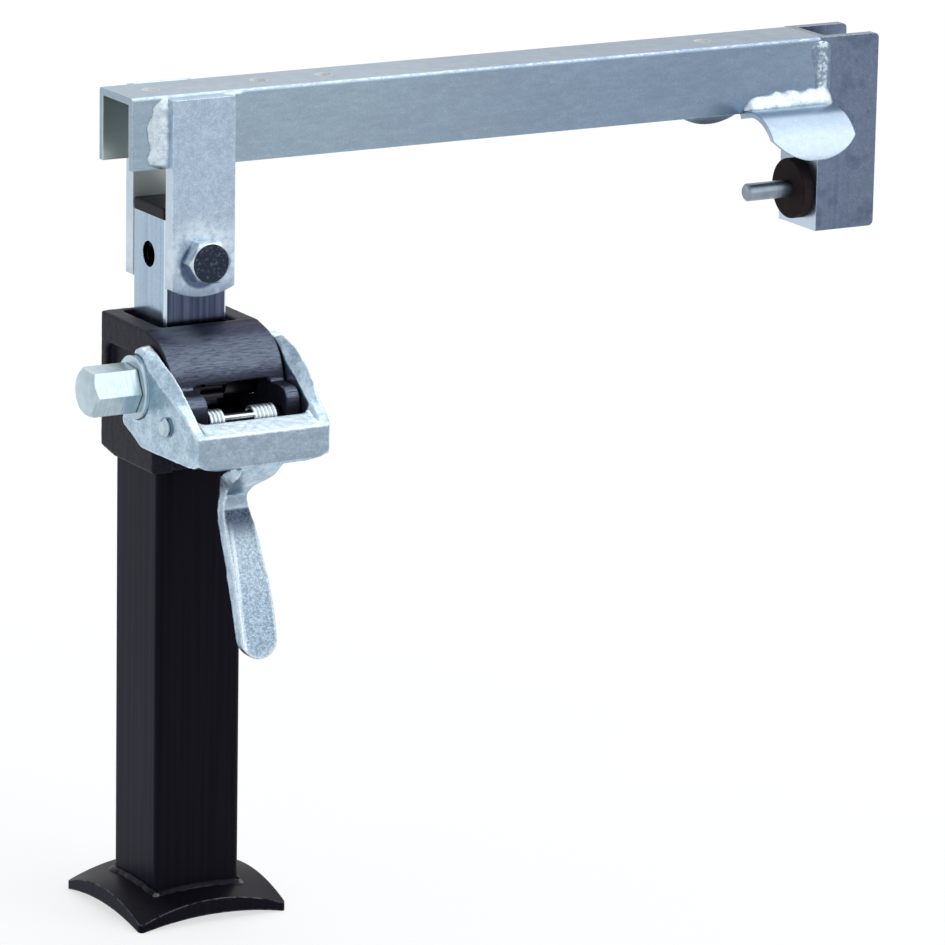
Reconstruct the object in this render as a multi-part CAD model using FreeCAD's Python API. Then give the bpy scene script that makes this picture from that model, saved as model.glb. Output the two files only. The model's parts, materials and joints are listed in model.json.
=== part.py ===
import FreeCAD, Part
import math
import os

# Stabilizer leg for a motorhome, in millimetres.
# X runs along the chassis channel towards the stow bracket, Z is up, and the origin lies on the
# channel's top face, straight above the pivot bolt. The front of the leg faces -Y.

# Chassis channel, an inverted U folded from plate
channel_width = 38.0
channel_depth = 39.0
channel_wall = 4.0
channel_bend = 2.0
channel_overhang = 38.5
channel_length = 428.7
chassis_hole = 9.0
outer_hole_stations = (-18.0, 324.0)
inner_hole_stations = (46.0, 85.5)

# End bracket, an upright U welded across the channel's end
bracket_height = 110.0
bracket_flange = 38.3
bracket_wall = 5.0
bracket_corner = 3.0

# Pivot lugs, plates welded to the outside of the channel's flanges
pivot_drop = 88.5
lug_width = 37.0
lug_plate = 8.0
lug_top_step = 1.5
lug_below_pivot = 19.5
lug_nose_radius = 40.0

# Guide lips, each a piece of pipe wall that steers the folded foot
lip_length = 53.5
lip_past_joint = 1.3
lip_radius = 27.0
lip_plate = 3.0
lip_rise = 28.0
lip_turn = 112.0
lip_end_radius = 36.0

# Stow pin and its rubber buffer
stow_pin_diameter = 10.0
stow_pin_reach = 28.0
stow_pin_chamfer = 1.0
stow_nut_flats = 17.0
stow_nut_height = 8.0
buffer_diameter = 34.0
buffer_thickness = 7.0

# Pivot bolt
bolt_diameter = 14.0
bolt_head_flats = 22.0
bolt_head_height = 8.8
bolt_nut_height = 8.0
bolt_thread_end = 2.0
washer_diameter = 28.0
washer_thickness = 2.0

# Inner tube with its end cap and rack
inner_width = 37.4
inner_wall = 3.0
inner_corner = 2.5
inner_above_pivot = 21.5
inner_length = 355.0
inner_end_gap = 12.3
cap_height = 6.0
cap_skirt = 10.0
cap_skirt_wall = 2.5
cap_edge = 1.2

# Gear: a pinion cut on the drive shaft runs on the rack
gear_module = 2.5
pinion_teeth = 8
pressure_angle = 25.0
pinion_addendum = 2.2
pinion_dedendum = 2.1
rack_addendum = 1.75
rack_dedendum = 2.7
rack_tip_gap = 0.75
rack_width = 14.0
rack_body = 7.0
rack_below_pivot = 41.5
rack_tooth_count = 32
tooth_play = 0.3

# Drive shaft, seen from the pivot bolt: how far it lies in front and below
shaft_drop = 63.7
hex_flats = 24.0
hex_length = 26.5
hex_tilt = 26.0
hex_chamfer = 2.0
journal_diameter = 20.0
shaft_end_stub = 3.5
ring_thickness = 1.2
ring_height = 1.8
ring_groove = 1.0

# Collars, the round bushes that carry the shaft in the yoke
collar_diameter = 34.0
collar_length = 10.0

# Outer tube and foot
outer_width = 50.8
outer_wall = 3.0
outer_corner = 3.5
foot_width = 89.0
foot_corner = 3.0
foot_thickness = 8.7
foot_crown = 3.1
foot_corner_drop = 6.3
foot_under_crown = 2.9
foot_under_corner_drop = 2.2
foot_hole = 12.0

# Gear housing, a casting round the tubes with a hood over the pinion
housing_width = 67.0
housing_back = 28.0
housing_top = 34.8
housing_height = 76.7
housing_front_foot = 35.0
housing_foot_rise = 3.0
housing_foot_run = 16.0
housing_front_rise = 14.0
housing_corner = 2.5
housing_front_wall = 6.5
hood_radius = 27.0
hood_wall = 4.0
window_left = 21.0
window_right = 25.0
window_top = 3.9
window_corner = 3.5
ear_radius = 9.5
ear_top = 2.0
ear_top_radius = 8.0
socket_depth = 29.0
pocket_depth = 4.0
pocket_height = 26.0
pocket_back = 20.0
pocket_corner = 5.0
casting_edge = 2.0

# Release yoke: two arms, a front bar and a handle, pivoting on a pin in the housing's ears
pin_ahead = 35.6
pin_drop = 77.7
lever_pin_diameter = 8.0
lever_pin_head = 10.5
lever_pin_head_height = 2.0
yoke_plate = 8.0
yoke_taper = 2.1
yoke_taper_start = 45.0
yoke_crown = 24.3
left_inner_fall = [0, 0, 0.4, 1.2, 3.6, 5.4, 6.2, 5.2, 3.4, 1.0, 0.5, 0]
left_outer_fall = [0, 0.8, 2.0, 3.6, 8.0, 12.0, 14.0, 11.8, 8.0, 2.6, 0.8, 0]
right_inner_fall = [0, 0.5, 1.2, 1.6, 2.4, 5.6, 9.6, 8.6, 6.4, 3.4, 1.2, 0]
right_outer_fall = [0] * 12
finger_bevel = 2.0
bar_thickness = 12.0
bar_height = 19.2
bar_end_rise = 2.6
bar_end_run = 14.0
bar_front = 97.0
bar_top_drop = 77.8
bar_slope = 5.2
bar_corner = 3.0
yoke_inner_corner = 6.5
handle_thickness = 8.0
handle_neck_width = 14.2
handle_root_width = 27.0
handle_grip_width = 21.6
handle_length = 104.4
handle_reach = 34.8
handle_rim = 2.2
handle_recess = 0.9

# Torsion spring, two coils of one wire with a bridge between them
spring_wire = 2.4
left_turns = 4
right_turns = 6
ring_overlap = 0.072
left_coil_gap = 10.6
right_coil_gap = 8.8
bridge_angle = 150.0

# Clearances
running_gap = 0.06
body_gap = 0.3
side_gap = 0.6
coil_gap = 0.35
guide_height = 12.0
guide_below_top = 6.0
release_angle = 14.5


# Places worked out from the sizes above
half_channel = channel_width / 2
channel_end = channel_length - channel_overhang
pivot_z = -pivot_drop
lug_front = half_channel + lug_plate
inner_half = inner_width / 2
inner_top = pivot_z + inner_above_pivot
inner_bottom = inner_top - inner_length
outer_half = outer_width / 2
bore_half = outer_half - outer_wall
pitch_radius = gear_module * pinion_teeth / 2
tooth_pitch = math.pi * gear_module
rack_pitch_line = -(bore_half - rack_tip_gap - rack_addendum)
shaft_y = rack_pitch_line - pitch_radius
shaft_z = pivot_z - shaft_drop
pin_y = shaft_y - pin_ahead
pin_z = pivot_z - pin_drop
foot_top_apex = inner_bottom - inner_end_gap
foot_under_apex = foot_top_apex - foot_thickness
foot_bottom = foot_under_apex - 2 * foot_under_crown - foot_under_corner_drop
housing_half = housing_width / 2
housing_z = pivot_z - housing_top
housing_foot = housing_z - housing_height
socket_top = housing_foot + socket_depth
window_rise = shaft_z + window_top
yoke_inner = housing_half + side_gap
yoke_outer = yoke_inner + yoke_plate
pinion_tip = pitch_radius + pinion_addendum


def vec(x, y, z):
    return FreeCAD.Vector(x, y, z)


def block(x0, x1, y0, y1, z0, z1):
    """A box between two corners."""
    return Part.makeBox(x1 - x0, y1 - y0, z1 - z0, vec(x0, y0, z0))


def rod(centre, radius, length, direction):
    """A round bar that starts at centre and runs along direction."""
    return Part.makeCylinder(radius, length, centre, direction)


def rod_x(x0, x1, y, z, radius):
    return rod(vec(x0, y, z), radius, x1 - x0, vec(1, 0, 0))


def rod_y(y0, y1, x, z, radius):
    return rod(vec(x, y0, z), radius, y1 - y0, vec(0, 1, 0))


def rod_z(z0, z1, x, y, radius):
    return rod(vec(x, y, z0), radius, z1 - z0, vec(0, 0, 1))


def hexagon_bar(flats, length, centre, direction, across):
    """A hexagonal bar along direction, with one corner pointing along across."""
    radius = flats / math.sqrt(3)
    side = direction.cross(across)
    corners = []
    for step in range(7):
        angle = math.radians(60 * step)
        corners.append(centre + across * (radius * math.cos(angle)) + side * (radius * math.sin(angle)))
    face = Part.Face(Part.makePolygon(corners))
    return face.extrude(direction * length)


def plate_yz(points, x0, x1):
    """A plate with an outline in the YZ plane, given as points, from x0 to x1."""
    corners = [vec(x0, y, z) for y, z in points]
    face = Part.Face(Part.makePolygon(corners + corners[:1]))
    return face.extrude(vec(x1 - x0, 0, 0))


def round_edges(shape, radius, wanted):
    """Fillet the straight or curved edges that the test picks."""
    edges = [edge for edge in shape.Edges if wanted(edge)]
    return shape.makeFillet(radius, edges)


def runs_along(edge, axis):
    """True for a straight edge parallel to one of the axes, given as 0, 1 or 2."""
    first, last = edge.Vertexes[0].Point, edge.Vertexes[-1].Point
    run = last - first
    if run.Length < 1e-6 or not isinstance(edge.Curve, Part.Line):
        return False
    return abs(abs(run[axis]) - run.Length) < 1e-6


def square_bar(width, corner, z0, z1):
    """A square bar along Z with rounded corners."""
    half = width / 2
    bar = block(-half, half, -half, half, z0, z1)
    return round_edges(bar, corner, lambda edge: runs_along(edge, 2))


def bore_corner(corner, wall):
    """The corner radius inside a tube whose outside corner and wall are given."""
    return max(corner - wall, 0.5)


def square_tube(width, wall, corner, z0, z1):
    """A square tube along Z."""
    inside = square_bar(width - 2 * wall, bore_corner(corner, wall), z0 - 1, z1 + 1)
    return square_bar(width, corner, z0, z1).cut(inside)


def make_channel():
    """The chassis channel: a web on top and two flanges down, with holes along the web."""
    outside = block(-channel_overhang, channel_end, -half_channel, half_channel, -channel_depth, 0)
    outside = round_edges(outside, channel_bend, lambda e: runs_along(e, 0) and e.CenterOfMass.z > -1e-6)
    inner = half_channel - channel_wall
    hollow = block(-channel_overhang - 1, channel_end + 1, -inner, inner, -channel_depth - 1, -channel_wall)
    channel = outside.cut(hollow)
    for station in outer_hole_stations + inner_hole_stations:
        channel = channel.cut(rod_z(-channel_wall - 1, 1, station, 0, chassis_hole / 2))
    return channel


def make_bracket():
    """The end bracket: its web faces the leg and carries the stow pin."""
    x0, x1 = channel_end, channel_end + bracket_flange
    outside = block(x0, x1, -half_channel, half_channel, -bracket_height, 0)
    outside = round_edges(outside, bracket_corner,
                          lambda e: runs_along(e, 1) and e.CenterOfMass.x > x1 - 1e-6)
    inner = half_channel - bracket_wall
    hollow = block(x0 + bracket_wall, x1 + 1, -inner, inner, -bracket_height - 1, 1)
    hole = rod_x(x0 - 1, x0 + bracket_wall + 1, 0, pivot_z, stow_pin_diameter / 2)
    return outside.cut(hollow).cut(hole)


def make_lug(side):
    """One pivot lug, on the front (-1) or rear (+1) flange, with an arched lower end."""
    y0, y1 = sorted((side * half_channel, side * lug_front))
    low = pivot_z - lug_below_pivot
    plate = block(-lug_width / 2, lug_width / 2, y0, y1, low, -lug_top_step)
    nose = rod_y(y0, y1, 0, low + lug_nose_radius, lug_nose_radius)
    above = block(-lug_width / 2, lug_width / 2, y0, y1, low + lug_nose_radius / 2, -lug_top_step)
    plate = plate.common(nose.fuse(above))
    return plate.cut(rod_y(y0 - 1, y1 + 1, 0, pivot_z, bolt_diameter / 2))


def make_lip(side):
    """One guide lip: an arc of pipe wall that leaves the flange, rises, and curls down."""
    rise = math.radians(lip_rise)
    middle_y = half_channel + lip_radius * math.sin(rise)
    middle_z = -channel_depth - lip_radius * math.cos(rise)
    x1 = channel_end + lip_past_joint
    x0 = x1 - lip_length
    outer = rod_x(x0, x1, middle_y, middle_z, lip_radius)
    inner = rod_x(x0 - 1, x1 + 1, middle_y, middle_z, lip_radius - lip_plate)
    far = 2 * lip_radius
    end = math.radians(lip_turn) - rise
    wedge = [(middle_y, middle_z), (middle_y - far * math.sin(rise), middle_z + far * math.cos(rise)),
             (middle_y, middle_z + 2 * far), (middle_y + 2 * far, middle_z + far),
             (middle_y + far * math.sin(end), middle_z + far * math.cos(end))]
    lip = outer.cut(inner).common(plate_yz(wedge, x0, x1))
    lip = lip.common(block(x0, x1, half_channel, half_channel + 4 * lip_radius, middle_z - far, 0))
    free_z = middle_z + (lip_radius - lip_plate) * math.cos(end)
    middle_x = (x0 + x1) / 2
    lip = lip.common(rod_y(0, middle_y + far, middle_x, free_z + lip_end_radius, lip_end_radius))
    if side < 0:
        lip = lip.mirror(vec(0, 0, 0), vec(0, 1, 0))
    return lip


def make_stow_pin():
    """A plain pin through the buffer and the bracket's web."""
    x0 = channel_end - buffer_thickness - stow_pin_reach
    x1 = channel_end + bracket_wall + stow_nut_height + 2
    pin = rod_x(x0, x1, 0, pivot_z, stow_pin_diameter / 2)
    ends = [edge for edge in pin.Edges if edge.Closed and edge.CenterOfMass.x < x0 + 1e-6]
    return pin.makeChamfer(stow_pin_chamfer, ends)


def make_stow_nut():
    x0 = channel_end + bracket_wall
    nut = hexagon_bar(stow_nut_flats, stow_nut_height, vec(x0, 0, pivot_z), vec(1, 0, 0), vec(0, 0, 1))
    return nut.cut(rod_x(x0 - 1, x0 + stow_nut_height + 1, 0, pivot_z, stow_pin_diameter / 2))


def make_buffer():
    """The rubber disc that the stowed foot rests on."""
    x0 = channel_end - buffer_thickness
    disc = rod_x(x0, channel_end, 0, pivot_z, buffer_diameter / 2)
    rims = [edge for edge in disc.Edges if edge.Closed and edge.CenterOfMass.x < x0 + 1e-6]
    disc = disc.makeFillet(buffer_thickness / 6, rims)
    return disc.cut(rod_x(x0 - 1, channel_end + 1, 0, pivot_z, stow_pin_diameter / 2))


def chamfered_hexagon(flats, height, centre, direction, across):
    """A hexagon whose far face is turned down to the usual round corner chamfer."""
    body = hexagon_bar(flats, height, centre, direction, across)
    corner = flats / math.sqrt(3)
    slope = math.tan(math.radians(30))
    top = flats / 2 * 0.95
    rise = (corner * 1.02 - top) * slope
    cone = Part.makeCone(corner * 1.02, top, rise, centre + direction * (height - rise), direction)
    stem = rod(centre, corner * 1.02, height - rise, direction)
    return body.common(stem.fuse(cone))


def make_pivot_bolt():
    """Hexagon bolt through the lugs and the inner tube, head to the front."""
    front, back = -lug_front, lug_front
    end = back + washer_thickness + bolt_nut_height + bolt_thread_end
    head = chamfered_hexagon(bolt_head_flats, bolt_head_height, vec(0, front, pivot_z),
                             vec(0, -1, 0), vec(1, 0, 0))
    return head.fuse(rod_y(front, end, 0, pivot_z, bolt_diameter / 2))


def make_pivot_washer():
    ring = rod_y(lug_front, lug_front + washer_thickness, 0, pivot_z, washer_diameter / 2)
    return ring.cut(rod_y(lug_front - 1, lug_front + washer_thickness + 1, 0, pivot_z, bolt_diameter / 2))


def make_pivot_nut():
    start = lug_front + washer_thickness
    nut = chamfered_hexagon(bolt_head_flats, bolt_nut_height, vec(0, start, pivot_z),
                            vec(0, 1, 0), vec(1, 0, 0))
    return nut.cut(rod_y(start - 1, start + bolt_nut_height + 1, 0, pivot_z, bolt_diameter / 2))


def rack_span():
    """The lowest and highest Z of the rack bar."""
    high = pivot_z - rack_below_pivot
    return high - rack_tooth_count * tooth_pitch, high


def make_inner_tube():
    """The plated square tube that hangs from the pivot bolt, slotted for the rack."""
    tube = square_tube(inner_width, inner_wall, inner_corner, inner_bottom, inner_top)
    bolt_hole = bolt_diameter / 2 + running_gap
    tube = tube.cut(rod_y(-inner_width, inner_width, 0, pivot_z, bolt_hole))
    tube = tube.cut(rod_x(-inner_width, inner_width, 0, pivot_z, bolt_hole))
    low, high = rack_span()
    half = rack_width / 2
    return tube.cut(block(-half, half, -inner_half - 1, -inner_half + inner_wall + 1, low, high))


def make_end_cap():
    """Black plug that closes the top of the inner tube."""
    top = square_bar(inner_width, inner_corner, inner_top, inner_top + cap_height)
    top = round_edges(top, cap_edge, lambda e: e.CenterOfMass.z > inner_top + cap_height - 1e-6)
    bore = inner_width - 2 * inner_wall
    skirt = square_tube(bore, cap_skirt_wall, bore_corner(inner_corner, inner_wall), inner_top - cap_skirt, inner_top)
    return top.fuse(skirt)


def make_rack():
    """A toothed bar set into the tube's front wall, its teeth pointing forward."""
    low, high = rack_span()
    root = rack_pitch_line + rack_dedendum
    tip = rack_pitch_line - rack_addendum
    slope = math.tan(math.radians(pressure_angle))
    tip_half = (tooth_pitch - tooth_play) / 4 - rack_addendum * slope
    root_half = (tooth_pitch - tooth_play) / 4 + rack_dedendum * slope
    nearest = math.floor((high - shaft_z) / tooth_pitch - 0.5)
    first = shaft_z + (nearest + 0.5) * tooth_pitch
    points = [(root + rack_body, high), (root, high)]
    for number in range(rack_tooth_count):
        middle = first - number * tooth_pitch
        if middle + root_half > high or middle - root_half < low:
            continue
        points += [(root, middle + root_half), (tip, middle + tip_half),
                   (tip, middle - tip_half), (root, middle - root_half)]
    points += [(root, low), (root + rack_body, low)]
    return plate_yz(points, -rack_width / 2, rack_width / 2)


def make_lower_guide():
    """Slide ring at the tube's lower end, running inside the outer tube."""
    outside = square_bar(2 * (bore_half - body_gap), bore_corner(outer_corner, outer_wall),
                         inner_bottom, inner_bottom + guide_height)
    return outside.cut(square_bar(inner_width, inner_corner, inner_bottom - 1,
                                  inner_bottom + guide_height + 1))


def make_outer_tube():
    """The black square tube, scribed at its foot to the crown that it is welded to."""
    tube = square_tube(outer_width, outer_wall, outer_corner, foot_bottom, socket_top)
    return tube.cut(under_crown(foot_top_apex, foot_crown, foot_corner_drop))


def under_crown(apex, crown, corner_drop):
    """All that lies under a crowned surface, which falls to the foot's sides and more to its corners."""
    half = foot_width / 2
    count = 12
    grid = []
    for row in range(count + 1):
        y = half * 1.1 * (2 * row / count - 1)
        line = []
        for column in range(count + 1):
            x = half * 1.1 * (2 * column / count - 1)
            fall = crown * (x * x + y * y) / half ** 2 + corner_drop * (x * y / half ** 2) ** 2
            line.append(vec(x, y, apex - fall))
        grid.append(line)
    surface = Part.BSplineSurface()
    surface.interpolate(grid)
    return surface.toShape().extrude(vec(0, 0, -foot_width))


def make_foot_plate():
    """Square foot, crowned on top and hollow beneath, so that it stands on its corners."""
    plate = square_bar(foot_width, foot_corner, foot_bottom - 1, foot_top_apex + 1)
    plate = plate.common(under_crown(foot_top_apex, foot_crown, foot_corner_drop))
    plate = plate.cut(under_crown(foot_under_apex, foot_under_crown, foot_under_corner_drop))
    return plate.cut(rod_z(foot_bottom - 1, foot_top_apex + 1, 0, 0, foot_hole / 2))


def arc_points(centre_y, centre_z, radius, start, end, count):
    """Points on an arc in the YZ plane, angles in degrees from +Y towards +Z."""
    points = []
    for step in range(count + 1):
        angle = math.radians(start + (end - start) * step / count)
        points.append((centre_y + radius * math.cos(angle), centre_z + radius * math.sin(angle)))
    return points


def arc_edge(x, centre_y, centre_z, radius, start, end):
    """The same arc as one edge."""
    first, middle, last = [vec(x, y, z) for y, z in arc_points(centre_y, centre_z, radius, start, end, 2)]
    return Part.Arc(first, middle, last).toShape()


def outline_yz(x0, x1, pieces):
    """Extrude a closed outline of arcs joined by straight lines.

    Each piece is a point (y, z) or an arc (y, z, radius, start, end)."""
    edges = []
    spots = []
    for piece in pieces:
        if len(piece) == 2:
            spots.append((vec(x0, *piece), vec(x0, *piece), None))
        else:
            edge = arc_edge(x0, *piece)
            first = arc_points(*piece, 1)
            spots.append((vec(x0, *first[0]), vec(x0, *first[1]), edge))
    for index, (start, end, edge) in enumerate(spots):
        if edge is not None:
            edges.append(edge)
        following = spots[(index + 1) % len(spots)][0]
        if (following - end).Length > 1e-6:
            edges.append(Part.makeLine(end, following))
    face = Part.Face(Part.Wire(edges))
    return face.extrude(vec(x1 - x0, 0, 0))


def tangent_angle(from_y, from_z, to_y, to_z, radius, side):
    """Angle on a circle round (to_y, to_z) where the tangent from a point touches."""
    distance = math.hypot(from_y - to_y, from_z - to_z)
    base = math.degrees(math.atan2(from_z - to_z, from_y - to_y))
    return base + side * math.degrees(math.acos(radius / distance))


def housing_outline(x0, x1):
    """Side view of the casting: square back, hood over the shaft, ears forward to the pin."""
    hood_start = tangent_angle(-outer_half, housing_z, shaft_y, shaft_z, hood_radius, 1)
    ear_line = shaft_z + ear_top
    hood_end = 180 - math.degrees(math.asin(ear_top / hood_radius))
    nose = pin_y - ear_radius
    knee = housing_foot + housing_front_rise
    under = tangent_angle(-housing_front_foot, knee, pin_y, pin_z, ear_radius, -1)
    pieces = [
        (housing_back - housing_foot_run, housing_foot),
        (housing_back, housing_foot + housing_foot_rise),
        (housing_back, housing_z),
        (-outer_half, housing_z),
        (shaft_y, shaft_z, hood_radius, hood_start, hood_end),
        (nose + ear_top_radius, ear_line - ear_top_radius, ear_top_radius, 90, 180),
        (pin_y, pin_z, ear_radius, 180, under + 360 if under < 180 else under),
        (-housing_front_foot, knee),
        (-housing_front_foot, housing_foot),
    ]
    return outline_yz(x0, x1, pieces)


def shaft_path(radius, x0, x1):
    """The space that a round shaft sweeps while the yoke swings to release it."""
    reach_y, reach_z = shaft_y - pin_y, shaft_z - pin_z
    sweep = None
    steps = 4
    for step in range(steps + 1):
        angle = math.radians(release_angle * step / steps)
        y = pin_y + reach_y * math.cos(angle) - reach_z * math.sin(angle)
        z = pin_z + reach_y * math.sin(angle) + reach_z * math.cos(angle)
        disc = rod_x(x0, x1, y, z, radius)
        sweep = disc if sweep is None else sweep.fuse(disc)
    return sweep


def make_housing():
    """The gear housing casting."""
    body = housing_outline(-housing_half, housing_half)
    body = round_edges(body, housing_corner,
                       lambda e: runs_along(e, 2) and e.CenterOfMass.y > housing_back - 1e-6)
    far = 2 * housing_width
    front = block(-window_left, window_right, -far, -outer_half - housing_front_wall,
                  housing_foot - 1, window_rise)
    front = round_edges(front, window_corner, lambda e: runs_along(e, 1) and e.CenterOfMass.z > window_rise - 1)
    body = body.cut(front)
    body = body.cut(rod_x(-window_left, window_right, shaft_y, shaft_z, hood_radius - hood_wall))
    body = body.cut(square_bar(2 * bore_half, bore_corner(outer_corner, outer_wall), socket_top - 1, housing_z + 1))
    body = body.cut(square_bar(outer_width, outer_corner, housing_foot - 1, socket_top))
    body = body.cut(shaft_path(journal_diameter / 2 + side_gap, -housing_width, housing_width))
    body = body.cut(rod_x(-housing_width, housing_width, pin_y, pin_z, lever_pin_diameter / 2))
    for side in (-1, 1):
        face = side * housing_half
        x0, x1 = sorted((face + side, face - side * pocket_depth))
        pocket = block(x0, x1, shaft_y, pocket_back, shaft_z - pocket_height / 2,
                       shaft_z + pocket_height / 2)
        body = body.cut(round_edges(pocket, pocket_corner, lambda e: runs_along(e, 0)))
    return body


def make_upper_guide():
    """Slide ring under the housing's mouth, open in front for the rack."""
    top = housing_z - guide_below_top
    ring = square_bar(2 * bore_half, bore_corner(outer_corner, outer_wall), top - guide_height, top)
    ring = ring.cut(square_bar(inner_width + 2 * body_gap, inner_corner, top - guide_height - 1, top + 1))
    half = rack_width / 2 + side_gap
    return ring.cut(block(-half, half, -outer_half, -inner_half + inner_wall, top - guide_height - 1, top + 1))


def make_lever_pin():
    """The yoke's pivot pin, riveted over at both ends."""
    reach = yoke_outer + body_gap
    pin = rod_x(-reach, reach, pin_y, pin_z, lever_pin_diameter / 2)
    for side in (-1, 1):
        base = vec(side * reach, pin_y, pin_z)
        out = vec(side, 0, 0)
        head = Part.makeCone(lever_pin_head / 2, lever_pin_head / 3, lever_pin_head_height, base, out)
        pin = pin.fuse(head)
    return pin


def involute_point(base_radius, radius, half_angle_base):
    """Polar point on an involute flank: its angle from the tooth's middle."""
    pressure = math.acos(base_radius / radius)
    return half_angle_base - (math.tan(pressure) - pressure)


def make_pinion_teeth():
    """The pinion: a ring of involute teeth, one of them pointing at the rack."""
    base = pitch_radius * math.cos(math.radians(pressure_angle))
    root = pitch_radius - pinion_dedendum
    angle_at_pitch = math.radians(pressure_angle)
    tooth_half = (tooth_pitch / 2 - tooth_play) / 2 / pitch_radius
    base_half = tooth_half + math.tan(angle_at_pitch) - angle_at_pitch
    half = rack_width / 2 - side_gap
    x0 = -half

    def spot(radius, angle):
        return vec(x0, shaft_y + radius * math.cos(angle), shaft_z + radius * math.sin(angle))

    middle_radius = (base + pinion_tip) / 2
    edges = []
    step = 2 * math.pi / pinion_teeth
    for tooth in range(pinion_teeth):
        middle = tooth * step
        middle_half = involute_point(base, middle_radius, base_half)
        tip_half = involute_point(base, pinion_tip, base_half)
        flank = [spot(base, middle - base_half), spot(middle_radius, middle - middle_half),
                 spot(pinion_tip, middle - tip_half)]
        back = [spot(pinion_tip, middle + tip_half), spot(middle_radius, middle + middle_half),
                spot(base, middle + base_half)]
        edges.append(Part.makeLine(spot(root, middle - base_half), flank[0]))
        edges.append(Part.Arc(*flank).toShape())
        edges.append(Part.Arc(flank[2], spot(pinion_tip, middle), back[0]).toShape())
        edges.append(Part.Arc(*back).toShape())
        edges.append(Part.makeLine(back[2], spot(root, middle + base_half)))
        valley = [spot(root, middle + base_half), spot(root, middle + step / 2),
                  spot(root, middle + step - base_half)]
        edges.append(Part.Arc(*valley).toShape())
    return Part.Face(Part.Wire(edges)).extrude(vec(2 * half, 0, 0))


def collar_span():
    """The collar's inner and outer X on the positive side."""
    inner = yoke_inner
    return inner, inner + collar_length


def make_pinion_shaft():
    """Hexagon for the crank, two journals and the pinion, all in one turned piece."""
    outer = collar_span()[1]
    shoulder = -outer - body_gap
    tilt = math.radians(hex_tilt)
    hexagon = hexagon_bar(hex_flats, hex_length, vec(shoulder, shaft_y, shaft_z), vec(-1, 0, 0),
                          vec(0, math.sin(tilt), math.cos(tilt)))
    corner = hex_flats / math.sqrt(3)
    taper = Part.makeCone(corner + 0.1, hex_flats / 2 - 0.3, hex_chamfer,
                          vec(shoulder - hex_length + hex_chamfer, shaft_y, shaft_z), vec(-1, 0, 0))
    straight = rod_x(shoulder - hex_length + hex_chamfer, shoulder, shaft_y, shaft_z, corner + 0.1)
    hexagon = hexagon.common(taper.fuse(straight))
    end = outer + ring_thickness + body_gap + shaft_end_stub
    clear = rack_width / 2 + side_gap
    neck = rod_x(-clear, clear, shaft_y, shaft_z, pitch_radius - pinion_dedendum - body_gap)
    left = rod_x(shoulder, -clear, shaft_y, shaft_z, journal_diameter / 2)
    right = rod_x(clear, end, shaft_y, shaft_z, journal_diameter / 2)
    groove_x = outer + body_gap
    groove = rod_x(groove_x, groove_x + ring_thickness, shaft_y, shaft_z, journal_diameter)
    groove = groove.cut(rod_x(groove_x, groove_x + ring_thickness, shaft_y, shaft_z,
                              journal_diameter / 2 - ring_groove))
    return hexagon.fuse([left, right.cut(groove), neck, make_pinion_teeth()])


def make_collar(side):
    """Round bush in the yoke's open notch, with a bore for the shaft's journal."""
    x0, x1 = sorted(side * x for x in collar_span())
    bush = rod_x(x0, x1, shaft_y, shaft_z, collar_diameter / 2)
    rims = [edge for edge in bush.Edges if edge.Closed]
    bush = bush.makeChamfer(0.8, rims)
    return bush.cut(rod_x(x0 - 1, x1 + 1, shaft_y, shaft_z, journal_diameter / 2 + running_gap))


def make_retaining_ring():
    """Snap ring in the groove at the shaft's plain end."""
    x0 = collar_span()[1] + body_gap
    bore = journal_diameter / 2 - ring_groove
    outside = bore + ring_groove + ring_height
    ring = rod_x(x0, x0 + ring_thickness, shaft_y, shaft_z, outside)
    ring = ring.cut(rod_x(x0 - 1, x0 + ring_thickness + 1, shaft_y, shaft_z, bore))
    opening = block(x0 - 1, x0 + ring_thickness + 1, shaft_y - ring_height, shaft_y + ring_height,
                    shaft_z, shaft_z + 2 * outside)
    return ring.cut(opening)


def arm_outline(x, top):
    """One face of an arm, at x. Its top edge is given, and the rest is shared by both faces."""
    bar_low = pivot_z - bar_top_drop - bar_height + bar_end_rise
    front = -bar_front
    rest = [
        (front, bar_low + 2.5),
        (front + 3.0, bar_low),
        (front + 12.0, bar_low - 0.6),
        (shaft_y - 7.0, bar_low - 0.8),
        (shaft_y + 3.5, shaft_z - 26.8),
        (shaft_y + 13.0, shaft_z - 23.2),
        (shaft_y + 14.6, shaft_z - 21.5),
        (shaft_y + 14.6, shaft_z - 18.5),
        (shaft_y + 11.0, shaft_z - 13.0),
    ]
    corners = [vec(x, y, z) for y, z in top + rest]
    return Part.makePolygon(corners + corners[:1])


def arm_top(lift):
    """The top edge of one face of an arm. The lifts lower or raise its points from the high line."""
    crown = shaft_z + yoke_crown
    bar_top = pivot_z - bar_top_drop
    line = [
        (shaft_y + 4.3, shaft_z + collar_diameter / 2 - 0.7),
        (shaft_y + 3.0, crown - 4.0),
        (shaft_y - 1.0, crown - 1.2),
        (shaft_y - 5.0, crown),
        (shaft_y - 12.0, crown),
        (shaft_y - 20.0, crown - 1.9),
        (shaft_y - 29.0, crown - 5.2),
        (shaft_y - 38.0, crown - 11.2),
        (shaft_y - 45.5, crown - 18.4),
        (shaft_y - 53.0, crown - 26.3),
        (-bar_front + 6.5, bar_top + 6.0),
        (-bar_front, bar_top),
    ]
    return [(y, z - fall) for (y, z), fall in zip(line, lift)]


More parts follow.
